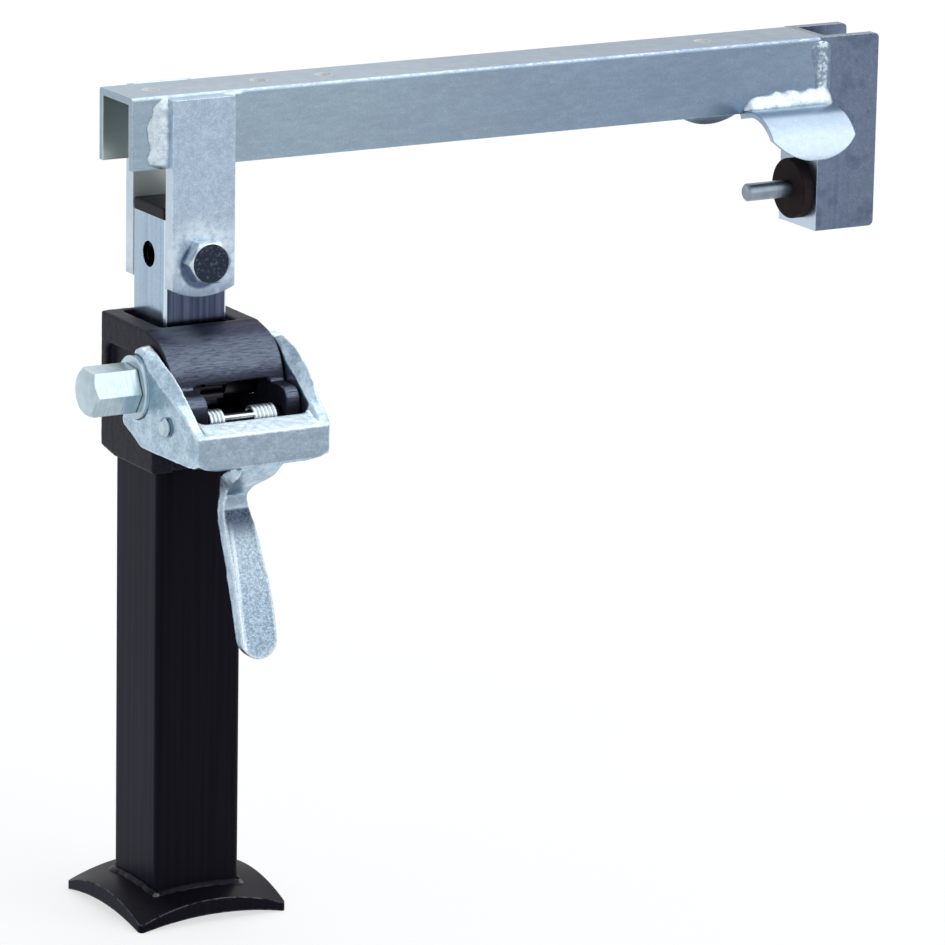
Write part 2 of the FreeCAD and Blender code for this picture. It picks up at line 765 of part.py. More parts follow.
def make_arm(side):
    """One arm of the yoke: its top slopes from face to face, with an open notch and a hook below it."""
    inner_fall, outer_fall = (left_inner_fall, left_outer_fall) if side < 0 else (right_inner_fall, right_outer_fall)
    inner = arm_outline(side * yoke_inner, arm_top(inner_fall))
    outer = arm_outline(side * yoke_outer, arm_top(outer_fall))
    arm = Part.makeLoft([inner, outer], True, True)
    x0, x1 = sorted((side * yoke_inner, side * yoke_outer))
    notch = rod_x(x0 - 1, x1 + 1, shaft_y, shaft_z, collar_diameter / 2 + running_gap)
    hole = rod_x(x0 - 1, x1 + 1, pin_y, pin_z, lever_pin_diameter / 2 + running_gap)
    return arm.cut(notch).cut(hole)


def make_bar():
    """The yoke's front bar, whose top slopes down to the front, with rounded inner corners."""
    top = pivot_z - bar_top_drop
    low = top - bar_height
    front = -bar_front
    back = front + bar_thickness
    rise = top + bar_slope
    outline = [(front, top), (back, rise), (back, low), (front + 3.0, low), (front, low + 2.5)]
    bar = plate_yz(outline, -yoke_outer, yoke_outer)
    corner = yoke_inner_corner
    for side in (-1, 1):
        x0, x1 = sorted((side * yoke_inner, side * (yoke_inner - corner)))
        gusset = plate_yz([(back, rise), (back + corner, rise + corner * 0.7), (back + corner, low),
                           (back, low)], x0, x1)
        relief = rod_z(low - 1, rise + corner, side * (yoke_inner - corner), back + corner, corner)
        bar = bar.fuse(gusset.cut(relief))
    end, run = yoke_outer, yoke_outer - yoke_taper - bar_end_run
    tip = yoke_outer - yoke_taper
    side = [vec(end, 0, rise + corner), vec(end, 0, low + bar_end_rise + 2 * bar_corner),
            vec(tip, 0, low + bar_end_rise + 1.5 * bar_corner), vec(tip - 1.5, 0, low + bar_end_rise + 0.6 * bar_corner),
            vec(tip - 2 * bar_corner, 0, low + bar_end_rise * 0.7), vec(run, 0, low)]
    outline = [vec(-point.x, 0, point.z) for point in side] + side[::-1]
    face = Part.Face(Part.makePolygon(outline + outline[:1]))
    face.translate(vec(0, front - corner, 0))
    return bar.common(face.extrude(vec(0, bar_thickness + 3 * corner, 0)))


def yoke_plan():
    """The yoke's outline seen from above: arms that draw in to a front bar with round corners."""
    front = -bar_front
    narrow = yoke_outer - yoke_taper
    back = shaft_y + collar_diameter
    low = pivot_z - bar_top_drop - 2 * handle_length
    high = shaft_z + 2 * yoke_crown
    corners = [vec(-yoke_outer, back, low), vec(-yoke_outer, -yoke_taper_start, low),
               vec(-narrow, front, low), vec(narrow, front, low),
               vec(yoke_outer, -yoke_taper_start, low), vec(yoke_outer, back, low)]
    plan = Part.Face(Part.makePolygon(corners + corners[:1])).extrude(vec(0, 0, high - low))
    return round_edges(plan, bar_corner, lambda e: runs_along(e, 2) and e.CenterOfMass.y < front + 1)


def finger_bevels():
    """Wedges that thin the arms' upper ends from the outside."""
    crown = shaft_z + yoke_crown
    start = crown - yoke_crown / 2
    wedges = []
    for side in (-1, 1):
        corners = [vec(side * (yoke_outer + 1), 0, start), vec(side * yoke_outer, 0, start),
                   vec(side * (yoke_outer - finger_bevel), 0, crown),
                   vec(side * (yoke_outer - finger_bevel), 0, crown + 1), vec(side * (yoke_outer + 1), 0, crown + 1)]
        face = Part.Face(Part.makePolygon(corners + corners[:1]))
        face.translate(vec(0, -bar_front, 0))
        wedges.append(face.extrude(vec(0, bar_front + collar_diameter, 0)))
    return wedges


def smooth(points):
    """A curve through points."""
    curve = Part.BSplineCurve()
    curve.interpolate(points)
    return curve


def handle_form(near, far, inset, start):
    """The handle between two distances from its middle line, narrowed by inset at each side.

    Its side view and its front view are extruded and crossed; start is the share of its length
    at which the form begins."""
    root_z = pivot_z - bar_top_drop - bar_height
    front = -bar_front
    line = [(-0.046, 0.10), (0.022, 0.26), (0.074, 0.50), (0.127, 0.78), (0.194, 0.965), (0.262, 1.0),
            (0.34, 0.905), (0.476, 0.69), (0.706, 0.375), (0.904, 0.19), (1.01, 0.12)]
    curve = smooth([vec(0, front + handle_reach * reach, root_z - handle_length * drop) for drop, reach in line])
    count = 16
    near_side, far_side = [], []
    for step in range(count + 1):
        at = curve.FirstParameter + (curve.LastParameter - curve.FirstParameter) * step / count
        along = curve.tangent(at)[0]
        normal = vec(0, along.z, -along.y)
        near_side.append(curve.value(at) + normal * near)
        far_side.append(curve.value(at) + normal * far)
    side_wire = Part.Wire([smooth(near_side).toShape(), Part.makeLine(near_side[-1], far_side[-1]),
                           smooth(far_side).toShape(), Part.makeLine(far_side[0], near_side[0])])
    side_face = Part.Face(side_wire)
    side_face.translate(vec(-handle_root_width, 0, 0))
    side_form = side_face.extrude(vec(2 * handle_root_width, 0, 0))
    root, neck, grip = handle_root_width / 2, handle_neck_width / 2, handle_grip_width / 2
    tip_z = root_z - handle_length
    widths = [(-0.056, root), (0.017, root - 1.5), (0.095, grip), (0.142, neck + 1.6), (0.2, neck),
              (0.267, neck + 0.5), (0.34, (neck + grip) / 2), (0.476, grip - 1.0), (0.664, grip)]
    grip_end = tip_z + grip
    right = [vec(width - inset, 0, root_z - handle_length * drop) for drop, width in widths if drop >= start]
    right.append(vec(grip - inset, 0, grip_end))
    left = [vec(-point.x, 0, point.z) for point in reversed(right)]
    tip = Part.Arc(right[-1], vec(0, 0, tip_z + inset), left[0])
    front_wire = Part.Wire([smooth(right).toShape(), tip.toShape(), smooth(left).toShape(),
                            Part.makeLine(left[-1], right[0])])
    front_face = Part.Face(front_wire)
    front_face.translate(vec(0, -2 * bar_front, 0))
    return side_form.common(front_face.extrude(vec(0, 2 * bar_front, 0)))


def make_handle():
    """The cast handle with its recessed front panel."""
    half = handle_thickness / 2
    grip = handle_form(-half, half, 0, -1)
    panel = handle_form(half - handle_recess, half + handle_thickness, handle_rim, 0.27)
    return grip.cut(panel)


def make_yoke():
    """The release yoke, one casting."""
    frame = make_bar().fuse([make_arm(-1), make_arm(1)]).common(yoke_plan())
    for wedge in finger_bevels():
        frame = frame.cut(wedge)
    yoke = frame.fuse(make_handle())
    keep_clear = rod_x(-yoke_inner, yoke_inner, pin_y, pin_z, ear_radius + 1)
    return yoke.cut(keep_clear).removeSplitter()


def make_coil(side, gap, turns, coil_radius):
    """One coil: touching rings of wire, turned as one outline round the pin."""
    wire = spring_wire / 2
    pitch = spring_wire - ring_overlap
    joint = math.sqrt(wire ** 2 - (pitch / 2) ** 2)
    first = side * gap if side > 0 else side * gap - pitch * (turns - 1)
    top, under = [], []
    for turn in range(turns):
        x = first + pitch * turn
        ends = [vec(x - pitch / 2, 0, joint), vec(x + pitch / 2, 0, joint)]
        if turn == 0:
            ends[0] = vec(x - wire, 0, 0)
        if turn == turns - 1:
            ends[1] = vec(x + wire, 0, 0)
        middle = vec(x, 0, wire)
        top.append(Part.Arc(ends[0], middle, ends[1]).toShape())
        flip = [vec(point.x, 0, -point.z) for point in (ends[1], middle, ends[0])]
        under.insert(0, Part.Arc(*flip).toShape())
    outline = Part.Face(Part.Wire(top + under))
    outline.translate(vec(0, pin_y, pin_z + coil_radius))
    return outline.revolve(vec(0, pin_y, pin_z), vec(1, 0, 0), 360)


def make_spring():
    """Double torsion spring round the yoke's pin: a bridge in front, legs back to the housing."""
    wire = spring_wire / 2
    coil_radius = lever_pin_diameter / 2 + coil_gap + wire
    pitch = spring_wire - ring_overlap
    angle = math.radians(bridge_angle)
    bridge_y, bridge_z = pin_y + coil_radius * math.cos(angle), pin_z + coil_radius * math.sin(angle)
    low = pin_z - coil_radius
    leg_end = -outer_half - housing_front_wall - body_gap
    spring = rod_x(-left_coil_gap, right_coil_gap, bridge_y, bridge_z, wire)
    for side, gap, turns in ((-1, left_coil_gap, left_turns), (1, right_coil_gap, right_turns)):
        outer = side * (gap + pitch * (turns - 1))
        spring = spring.fuse(make_coil(side, gap, turns, coil_radius))
        spring = spring.fuse(rod_y(pin_y, leg_end, outer, low, wire))
    return spring


def main():
    os.makedirs("parts", exist_ok=True)
    nodes = {
        "chassis_channel": make_channel(),
        "stow_bracket": make_bracket(),
        "front_lug": make_lug(-1),
        "rear_lug": make_lug(1),
        "front_guide_lip": make_lip(-1),
        "rear_guide_lip": make_lip(1),
        "stow_pin": make_stow_pin(),
        "stow_pin_nut": make_stow_nut(),
        "rubber_buffer": make_buffer(),
        "pivot_bolt": make_pivot_bolt(),
        "pivot_washer": make_pivot_washer(),
        "pivot_nut": make_pivot_nut(),
        "inner_tube": make_inner_tube(),
        "inner_tube_cap": make_end_cap(),
        "rack": make_rack(),
        "lower_guide": make_lower_guide(),
        "outer_tube": make_outer_tube(),
        "foot_plate": make_foot_plate(),
        "gear_housing": make_housing(),
        "upper_guide": make_upper_guide(),
        "lever_pin": make_lever_pin(),
        "release_yoke": make_yoke(),
        "torsion_spring": make_spring(),
        "left_collar": make_collar(-1),
        "right_collar": make_collar(1),
        "pinion_shaft": make_pinion_shaft(),
        "retaining_ring": make_retaining_ring(),
    }
    for name, shape in nodes.items():
        solids = len(shape.Solids)
        print(f"{name}: {solids} solid, {shape.Volume:.0f} mm3, valid {shape.isValid()}")
        shape.exportStep(f"parts/{name}.step")


main()
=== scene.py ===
# %% [markdown]
# # A motorhome stabilizer leg
# The leg is a square telescope under a zinc-plated channel. A rack and pinion drive it, and a forked
# release yoke with a handle lifts the pinion out of the rack. The CAD model gives every rigid part its
# place and size. This lesson gives each part its finish, adds the welds and the cast skins that the
# CAD solids leave plain, and sets up a camera and soft studio light.

import json
import math

import bmesh
import bpy
import numpy as np
from mathutils import Matrix, Vector, noise


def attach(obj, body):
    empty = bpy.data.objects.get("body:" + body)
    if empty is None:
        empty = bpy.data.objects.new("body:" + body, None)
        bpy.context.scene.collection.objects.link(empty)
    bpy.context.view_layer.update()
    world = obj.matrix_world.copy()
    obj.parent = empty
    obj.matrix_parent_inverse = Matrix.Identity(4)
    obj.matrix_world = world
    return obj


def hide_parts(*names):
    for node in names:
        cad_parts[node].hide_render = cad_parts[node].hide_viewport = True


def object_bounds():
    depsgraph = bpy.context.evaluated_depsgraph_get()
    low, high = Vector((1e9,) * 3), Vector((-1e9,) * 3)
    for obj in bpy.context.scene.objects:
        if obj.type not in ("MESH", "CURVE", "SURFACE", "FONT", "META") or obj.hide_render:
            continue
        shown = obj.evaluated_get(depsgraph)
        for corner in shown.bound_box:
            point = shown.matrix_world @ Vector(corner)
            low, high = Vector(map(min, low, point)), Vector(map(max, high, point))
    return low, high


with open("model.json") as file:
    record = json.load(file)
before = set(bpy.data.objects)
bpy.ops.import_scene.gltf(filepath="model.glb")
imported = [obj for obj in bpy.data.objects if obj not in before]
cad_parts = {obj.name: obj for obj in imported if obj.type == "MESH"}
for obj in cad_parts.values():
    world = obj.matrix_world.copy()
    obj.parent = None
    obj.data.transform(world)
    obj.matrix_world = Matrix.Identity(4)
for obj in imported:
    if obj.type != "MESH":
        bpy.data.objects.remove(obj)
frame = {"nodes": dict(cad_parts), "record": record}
cad_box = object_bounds()
nodes = frame["nodes"]
MM = 0.001
print("parts in the frame:", len(nodes))

# %% [markdown]
# ## The camera
# The photograph was taken from a few metres away with a long lens, a little above the leg and from its
# left. A camera could be set by eye, but then no edge can be compared with the photograph. Here the
# place, the three angles and the focal length come from fitting straight edges of the tubes and the
# channel, so the render can be laid over the photograph.

# %% Camera
CAMERA_AZIMUTH = math.radians(-30.13)
CAMERA_ELEVATION = math.radians(14.34)
CAMERA_ROLL = math.radians(1.05)
CAMERA_PLACE = Vector((-1.5011, -2.9003, 0.6266))
FOCAL_LENGTH = 239.225
SENSOR_WIDTH = 36
CLIP_END = 50
LEG_MIDDLE = Vector((0, 0, -0.2))

back = Vector((math.sin(CAMERA_AZIMUTH) * math.cos(CAMERA_ELEVATION),
               -math.cos(CAMERA_AZIMUTH) * math.cos(CAMERA_ELEVATION),
               math.sin(CAMERA_ELEVATION)))
level_right = (-back).cross(Vector((0, 0, 1))).normalized()
level_up = level_right.cross(-back)
right = math.cos(CAMERA_ROLL) * level_right + math.sin(CAMERA_ROLL) * level_up
up = math.cos(CAMERA_ROLL) * level_up - math.sin(CAMERA_ROLL) * level_right

camera_data = bpy.data.cameras.new("camera")
camera_data.lens = FOCAL_LENGTH
camera_data.sensor_width = SENSOR_WIDTH
camera_data.clip_end = CLIP_END
camera = bpy.data.objects.new("camera", camera_data)
camera.matrix_world = Matrix.Translation(CAMERA_PLACE) @ Matrix((right, up, back)).transposed().to_4x4()
bpy.context.scene.collection.objects.link(camera)
bpy.context.scene.camera = camera
print("camera distance to the leg, m:", round((CAMERA_PLACE - LEG_MIDDLE).length, 2))

# %% [markdown]
# ## Sums of sockets
# Shader maths is easier to read as Python than as a chain of nodes. A Signal wraps one output socket,
# and each operator on it adds the Math node that does the same sum. The reflected forms let a plain
# number stand on the left, as in 1 - mask.


# %% Signal
class Signal:
    """A number or colour that flows through a material."""

    def __init__(self, finish, socket):
        self.finish = finish
        self.socket = socket

    def sum(self, operation, first, second):
        made = self.finish.add("Math", {"operation": operation}, {0: first, 1: second})
        return Signal(self.finish, made.outputs[0])

    def __add__(self, other):
        return self.sum("ADD", self, other)

    def __radd__(self, other):
        return self.sum("ADD", other, self)

    def __sub__(self, other):
        return self.sum("SUBTRACT", self, other)

    def __rsub__(self, other):
        return self.sum("SUBTRACT", other, self)

    def __mul__(self, other):
        return self.sum("MULTIPLY", self, other)

    def __rmul__(self, other):
        return self.sum("MULTIPLY", other, self)

    def __pow__(self, other):
        return self.sum("POWER", self, other)

    def __lt__(self, other):
        return self.sum("LESS_THAN", self, other)

    def rise(self, low, high):
        """0 below low, 1 above high, and a smooth step between."""
        made = self.finish.add("MapRange", {"interpolation_type": "SMOOTHSTEP"},
                               {"Value": self, "From Min": low, "From Max": high})
        return Signal(self.finish, made.outputs[0])


print("sums that a Signal can do: + - * ** < and rise")

# %% [markdown]
# ## One way to make a node
# Every other node comes from Finish.add. It takes the node's type, then its settings, then the values
# or links of its sockets. The methods after it name the few recipes that the finishes share: noise
# measured in millimetres, a mix of two colours, a mask of worn edges and a bump. Sizes in millimetres
# keep a grain the same on every part, large or small.


# %% Finish
BEVEL_SAMPLES = 4


class Finish:
    """A material and the helpers that fill it."""

    def __init__(self, name, tree=None):
        if tree is None:
            self.material = bpy.data.materials.new(name)
            self.material.use_nodes = True
            tree = self.material.node_tree
        self.tree = tree
        self.tree.nodes.clear()

    def add(self, kind, settings=None, sockets=None):
        made = self.tree.nodes.new("ShaderNode" + kind)
        for name, value in (settings or {}).items():
            setattr(made, name, value)
        for name, value in (sockets or {}).items():
            if isinstance(value, Signal):
                self.tree.links.new(value.socket, made.inputs[name])
            elif isinstance(value, bpy.types.NodeSocket):
                self.tree.links.new(value, made.inputs[name])
            else:
                made.inputs[name].default_value = value
        return made

    def place(self):
        """The point on the part, in metres of its own frame."""
        return self.add("TexCoord").outputs["Object"]

    def axis(self, index):
        """One coordinate of the point, in millimetres."""
        parts = self.add("SeparateXYZ", sockets={0: self.place()})
        return Signal(self, parts.outputs[index]) * (1 / MM)

    def facing(self, index):
        """One coordinate of the face's direction."""
        parts = self.add("SeparateXYZ", sockets={0: self.add("TexCoord").outputs["Normal"]})
        return Signal(self, parts.outputs[index])

    def noise(self, size, detail=3.0, stretch=(1, 1, 1), rough=0.55):
        """Noise whose patches are about size millimetres across, pulled longer along the axes."""
        share = [1 / (size * MM * pull) for pull in stretch]
        scaled = self.add("Mapping", {"vector_type": "POINT"}, {"Vector": self.place(), "Scale": share})
        made = self.add("TexNoise", sockets={"Vector": scaled.outputs[0], "Scale": 1.0, "Detail": detail,
                                             "Roughness": rough})
        return Signal(self, made.outputs["Fac"])

    def mix(self, mask, low, high):
        """The colour low where the mask is 0, and high where it is 1."""
        low = (*low, 1) if isinstance(low, tuple) else low
        high = (*high, 1) if isinstance(high, tuple) else high
        made = self.add("Mix", {"data_type": "RGBA"}, {0: mask, 6: low, 7: high})
        return made.outputs[2]

    def dim(self, mask, colour, tint):
        """The colour multiplied by a tint where the mask is 1."""
        made = self.add("Mix", {"data_type": "RGBA", "blend_type": "MULTIPLY"},
                        {0: mask, 6: colour, 7: (*tint, 1)})
        return made.outputs[2]

    def rounded(self, width):
        """A normal that rounds the sharp edges by width millimetres."""
        return self.add("Bevel", {"samples": BEVEL_SAMPLES}, {"Radius": width * MM}).outputs[0]

    def edges(self, width):
        """1 on sharp edges and 0 on flat faces."""
        match = self.add("VectorMath", {"operation": "DOT_PRODUCT"},
                         {0: self.rounded(width), 1: self.add("NewGeometry").outputs["Normal"]})
        return (1 - Signal(self, match.outputs["Value"])).rise(0.02, 0.22)

    def bump(self, height, depth, strength=1.0, under=None):
        """A bump whose height of 1 stands depth millimetres high, on a normal that lies under it."""
        sockets = {"Height": height, "Distance": depth * MM, "Strength": strength}
        if under is not None:
            sockets["Normal"] = under
        return self.add("Bump", sockets=sockets).outputs[0]

    def close(self, **sockets):
        """Ends the finish with a Principled shader. Underscores in names stand for spaces."""
        plain = {name.replace("_", " "): value for name, value in sockets.items()}
        shader = self.add("BsdfPrincipled", sockets=plain)
        self.add("OutputMaterial", sockets={"Surface": shader.outputs[0]})
        return self.material


print("recipes that a Finish has: noise, mix, dim, edges, rounded, bump")

# %% [markdown]
# ## Bright zinc on plate
# The channel, lugs, bracket and lips are zinc plated. Zinc on plate is a metal that is never quite
# even: a fine grain, faint clouds a few centimetres across, tiny bright specks, and bright lines along
# cut edges, which are partly wear and partly a painted highlight. A single even grey would look like
# plastic. Here grain and clouds change the colour and the roughness together, so they read as one
# metal. Each plate has its own tone, and a touch adds what only that plate shows. A touch gives back
# the colour and how much of it is bare metal.


# %% Zinc on plate
def shade(tone, share, lift=0.0):
    """A tone made darker or paler by a share, then lifted towards white."""
    return tuple(min(1.0, part * share + lift) for part in tone)


def zinc(name, tone, touch, contrast, grain, drawn=(1, 1, 1), roughness=0.32, wear_and_highlight=1.0):
    """Zinc plating round one tone, with grain, clouds, specks, and bright edges of wear and painted
    highlight.
    """
    finish = Finish(name)
    clouds = finish.noise(26.0, 3, drawn)
    mottle = finish.noise(grain * 2.6, 4, drawn)
    fine = finish.noise(grain * 0.6, 2)
    blend = (clouds * 0.25 + mottle * 0.30 + fine * 0.45).rise(0.38, 0.62)
    colour = finish.mix(blend, shade(tone, 1 - contrast), shade(tone, 1 + contrast))
    specks = fine.rise(0.62, 0.74) * mottle.rise(0.48, 0.62)
    light = shade(tone, 1.5, lift=0.26)
    colour = finish.mix(specks * 0.35, colour, light)
    colour, metal = touch(finish, colour)
    # The bright edges are partly wear and partly a painted highlight along the cut edges.
    edge_wear_and_highlight = finish.edges(0.6) * (fine.rise(0.42, 0.58) * 0.6 + mottle.rise(0.36, 0.58) * 0.25 + 0.25)
    colour = finish.mix(edge_wear_and_highlight * wear_and_highlight, colour, light)
    rough = roughness - blend * 0.07 + fine * 0.06
    normal = finish.bump(fine * 0.6 + mottle * 0.4, 0.03, 0.5, finish.rounded(0.6))
    return finish.close(Base_Color=colour, Metallic=metal, Roughness=rough, Normal=normal)


print("a tone made darker:", shade((0.3, 0.4, 0.5), 0.8))

# %% [markdown]
# ## The channel's touch
# The channel is greener at the pivot end and bluer at the far end. Its inside is painted pale and
# dull as painted light, the outer bends carry a painted highlight in short strokes, and its bolt holes
# are painted white as painted light. Each of these lies at a place that the drawing gives, so masks are
# made from the coordinates.

# %% The channel's touch
CHANNEL_HALF = 19.0
CHANNEL_INNER_HALF = 15.4
WEB_UNDERSIDE = -3.9
BLUE_START, BLUE_END = 10, 330
HOLE_PLACES = (-18.0, 46.0, 85.5, 324.0)
HOLE_REACH = 4.8


def channel_touch(finish, colour):
    """The change of tint along the channel, and painted light inside it, on its bends and in its holes."""
    along, across, height = (finish.axis(index) for index in range(3))
    colour = finish.dim(along.rise(BLUE_START, BLUE_END), colour, (0.72, 0.74, 0.82))
    # Painted light: the inside faces, which lie in shade, are painted pale and dull.
    inside_painted_light = (across * across < CHANNEL_INNER_HALF ** 2) * (height < WEB_UNDERSIDE)
    colour = finish.mix(inside_painted_light * 0.85, colour, (0.62, 0.68, 0.67))
    # Painted highlight: faces between front and up, along the top front bend, are painted bright in short
    # strokes.
    bend_highlight = (-1.0 * finish.facing(1)).rise(0.30, 0.62) * finish.facing(2).rise(0.30, 0.62)
    highlight_strokes = finish.noise(0.9, 4, (3.5, 1, 1)).rise(0.42, 0.62)
    colour = finish.mix(bend_highlight * (0.15 + highlight_strokes * 0.60), colour, (0.58, 0.69, 0.77))
    # Painted light: the bolt holes are painted white and made dull, as light seen through them.
    hole_painted_light = (along - HOLE_PLACES[0]) ** 2 + across * across < HOLE_REACH ** 2
    for centre in HOLE_PLACES[1:]:
        hole_painted_light = hole_painted_light + ((along - centre) ** 2 + across * across < HOLE_REACH ** 2)
    colour = finish.mix(hole_painted_light, colour, (1.0, 1.0, 1.0))
    return colour, 1 - hole_painted_light * 0.9


print("bright holes at X, mm:", HOLE_PLACES)

# %% [markdown]
# ## The lugs' touch
# A lug carries a painted highlight round the bolt, and is darker at its round low end. A painted
# shadow of the bolt's head lies as a dark crescent below and to the left of it. The left faces are
# painted paler as painted light, and the faces towards the tube are painted pale and dull as painted
# light. The distance from the pivot makes the highlight and the shadow, and cloudy noise breaks the
# highlight up so that it doesn't look drawn with a compass.

# %% The lugs' touch
PIVOT_HEIGHT = -88.5
BOLT_HIGHLIGHT_START, BOLT_HIGHLIGHT_END = 12, 30
LUG_DARK_END, LUG_CLEAR = -106.5, -96.0
BOLT_SHADOW_LEFT, BOLT_SHADOW_DOWN = 1.3, 2.4
BOLT_SHADOW_INNER, BOLT_SHADOW_OUTER = 11.6, 13.6
INNER_FACE = CHANNEL_HALF + 0.2


def lug_touch(finish, colour):
    """Painted highlight and shadow at the bolt, a dark low end, painted light on left and inner faces."""
    along, across, height = (finish.axis(index) for index in range(3))
    cloud = finish.noise(7.0, 3)
    away = (along ** 2 + (height - PIVOT_HEIGHT) ** 2) ** 0.5
    # Painted highlight round the bolt.
    bolt_highlight = (1 - away.rise(BOLT_HIGHLIGHT_START, BOLT_HIGHLIGHT_END)) * cloud.rise(0.35, 0.62)
    colour = finish.mix(bolt_highlight * 0.75, colour, (0.74, 0.84, 0.92))
    low = (1 - height.rise(LUG_DARK_END, LUG_CLEAR)) * cloud.rise(0.30, 0.55)
    colour = finish.dim(low, colour, (0.45, 0.47, 0.54))
    # Painted shadow of the bolt's head: a dark crescent below and to the left.
    below = ((along + BOLT_SHADOW_LEFT) ** 2 + (height - PIVOT_HEIGHT + BOLT_SHADOW_DOWN) ** 2) ** 0.5
    colour = finish.dim(1 - below.rise(BOLT_SHADOW_INNER, BOLT_SHADOW_OUTER), colour, (0.22, 0.26, 0.36))
    # Painted light: the left faces are painted paler.
    lit_left_side = (-1.0 * finish.facing(0)).rise(0.8, 0.95)
    colour = finish.mix(lit_left_side * 0.55, colour, (0.62, 0.70, 0.77))
    # Painted light: the faces towards the tube are painted pale and dull.
    inside_painted_light = across * across < INNER_FACE ** 2
    colour = finish.mix(inside_painted_light * 0.85, colour, (0.70, 0.75, 0.72))
    return colour, 1 - inside_painted_light * 0.5


print("haze on the lugs starts", BOLT_HIGHLIGHT_START, "mm from the pivot bolt")

# %% [markdown]
# ## The bracket's and the lips' touch
# The stow bracket is darker steel with rolling marks and smudges down it, and its face towards the
# stow pin is painted paler, most low down, as painted light. The guide lips are the brightest plates.
# Their roots are painted greyer as painted shade, and their cut edges are dark.

# %% The bracket's and the lips' touch
FACE_PALE, FACE_DARK = -104.0, -66.0
ROOT_CLEAR, ROOT_SHADED = -48.0, -39.5


def bracket_touch(finish, colour):
    """Rolling marks down the plate, and painted light on the face towards the pin."""
    bands = finish.noise(5.5, 2, (1, 1, 12))
    smudges = finish.noise(16.0, 4)
    colour = finish.dim(bands.rise(0.46, 0.66) * 0.35, colour, (0.62, 0.66, 0.74))
    colour = finish.dim(smudges.rise(0.50, 0.66) * 0.6, colour, (0.62, 0.64, 0.68))
    # Painted light: the face towards the pin is painted paler, most of all low down.
    lit_pin_face = (-1.0 * finish.facing(0)).rise(0.7, 0.9)
    lower = 1 - finish.axis(2).rise(FACE_PALE, FACE_DARK)
    colour = finish.mix(lit_pin_face * (0.45 + lower * 0.5), colour, (0.56, 0.65, 0.76))
    return colour, 1.0


def lip_touch(finish, colour):
    """Painted shade on the root under the weld, and dark cut edges."""
    # Painted shade: the lip's root, high up under the weld, is painted greyer.
    shaded_root = finish.axis(2).rise(ROOT_CLEAR, ROOT_SHADED)
    colour = finish.dim(shaded_root, colour, (0.74, 0.78, 0.82))
    colour = finish.dim(finish.edges(1.0), colour, (0.42, 0.45, 0.50))
    return colour, 1.0


print("the lips are dull above z =", ROOT_CLEAR, "mm")

# %% [markdown]
# ## The welds' touch
# A weld is zinc plated with the plates, and thickly, so it is nearly white with faint soot in its
# hollows. The seam between the channel and the bracket was ground down, which leaves it dark with
# bright flecks along its middle.

# %% The welds' touch
SEAM_MIDDLE = 391.5
SEAM_TOP_START, SEAM_TOP_END = -7.0, -3.0


def weld_touch(finish, colour):
    """Faint soot in the hollows of a weld."""
    hollows = finish.noise(2.4, 3)
    colour = finish.dim(hollows.rise(0.50, 0.68) * 0.55, colour, (0.60, 0.67, 0.74))
    return colour, 1.0


def seam_touch(finish, colour):
    """A ground seam, dark with bright flecks along its middle and at its top. It hides the first colour."""
    flecks = finish.noise(2.8, 6, rough=0.68)
    core = 1 - ((finish.axis(0) - SEAM_MIDDLE) ** 2).rise(0.5, 16.0)
    top = finish.axis(2).rise(SEAM_TOP_START, SEAM_TOP_END)
    pale = flecks.rise(0.44, 0.64) * (0.22 + core * 0.78 + top * 0.6) + core * 0.15
    colour = finish.mix(pale, (0.165, 0.215, 0.30), (0.58, 0.69, 0.78))
    return colour, 1.0


print("the seam's middle is at x =", SEAM_MIDDLE, "mm")

# %% [markdown]
# ## Finishes for the plates and welds
# One recipe with six tones serves all the zinc-plated plates and their welds. Front and rear plates are
# the same on the real leg, so they share a finish.

# %% Finishes for the plates and welds
finishes = {}
plate_finishes = {
    "chassis_channel": zinc("zinc_channel", (0.290, 0.375, 0.455), channel_touch,
                            contrast=0.10, grain=1.0, drawn=(3, 3, 1)),
    "front_lug": zinc("zinc_lug", (0.385, 0.485, 0.60), lug_touch, contrast=0.15, grain=1.2),
    "stow_bracket": zinc("zinc_bracket", (0.145, 0.185, 0.265), bracket_touch, contrast=0.14, grain=1.0),
    "front_guide_lip": zinc("zinc_lip", (0.41, 0.50, 0.59), lip_touch, contrast=0.06, grain=1.3, wear_and_highlight=0.0),
}
plate_finishes["rear_lug"] = plate_finishes["front_lug"]
plate_finishes["rear_guide_lip"] = plate_finishes["front_guide_lip"]
weld_finish = zinc("weld_zinc", (0.62, 0.715, 0.785), weld_touch, contrast=0.12, grain=1.5,
                   roughness=0.46, wear_and_highlight=0.0)
seam_finish = zinc("seam_zinc", (0.30, 0.38, 0.46), seam_touch, contrast=0.20, grain=1.1,
                   roughness=0.40, wear_and_highlight=0.0)
print("plates with a finish of their own:", list(plate_finishes))

# %% [markdown]
# ## Zinc on drawn tube
# The inner tube is drawn through a die, so its plating shows fine lines along the tube. The rounded
# corners are painted as narrow bright strips, a painted highlight. The front and back are painted
# darker, a painted reflection of the dark hood.
# Lines carved in the mesh would need far too many faces, so noise that is pulled long along Z does it.


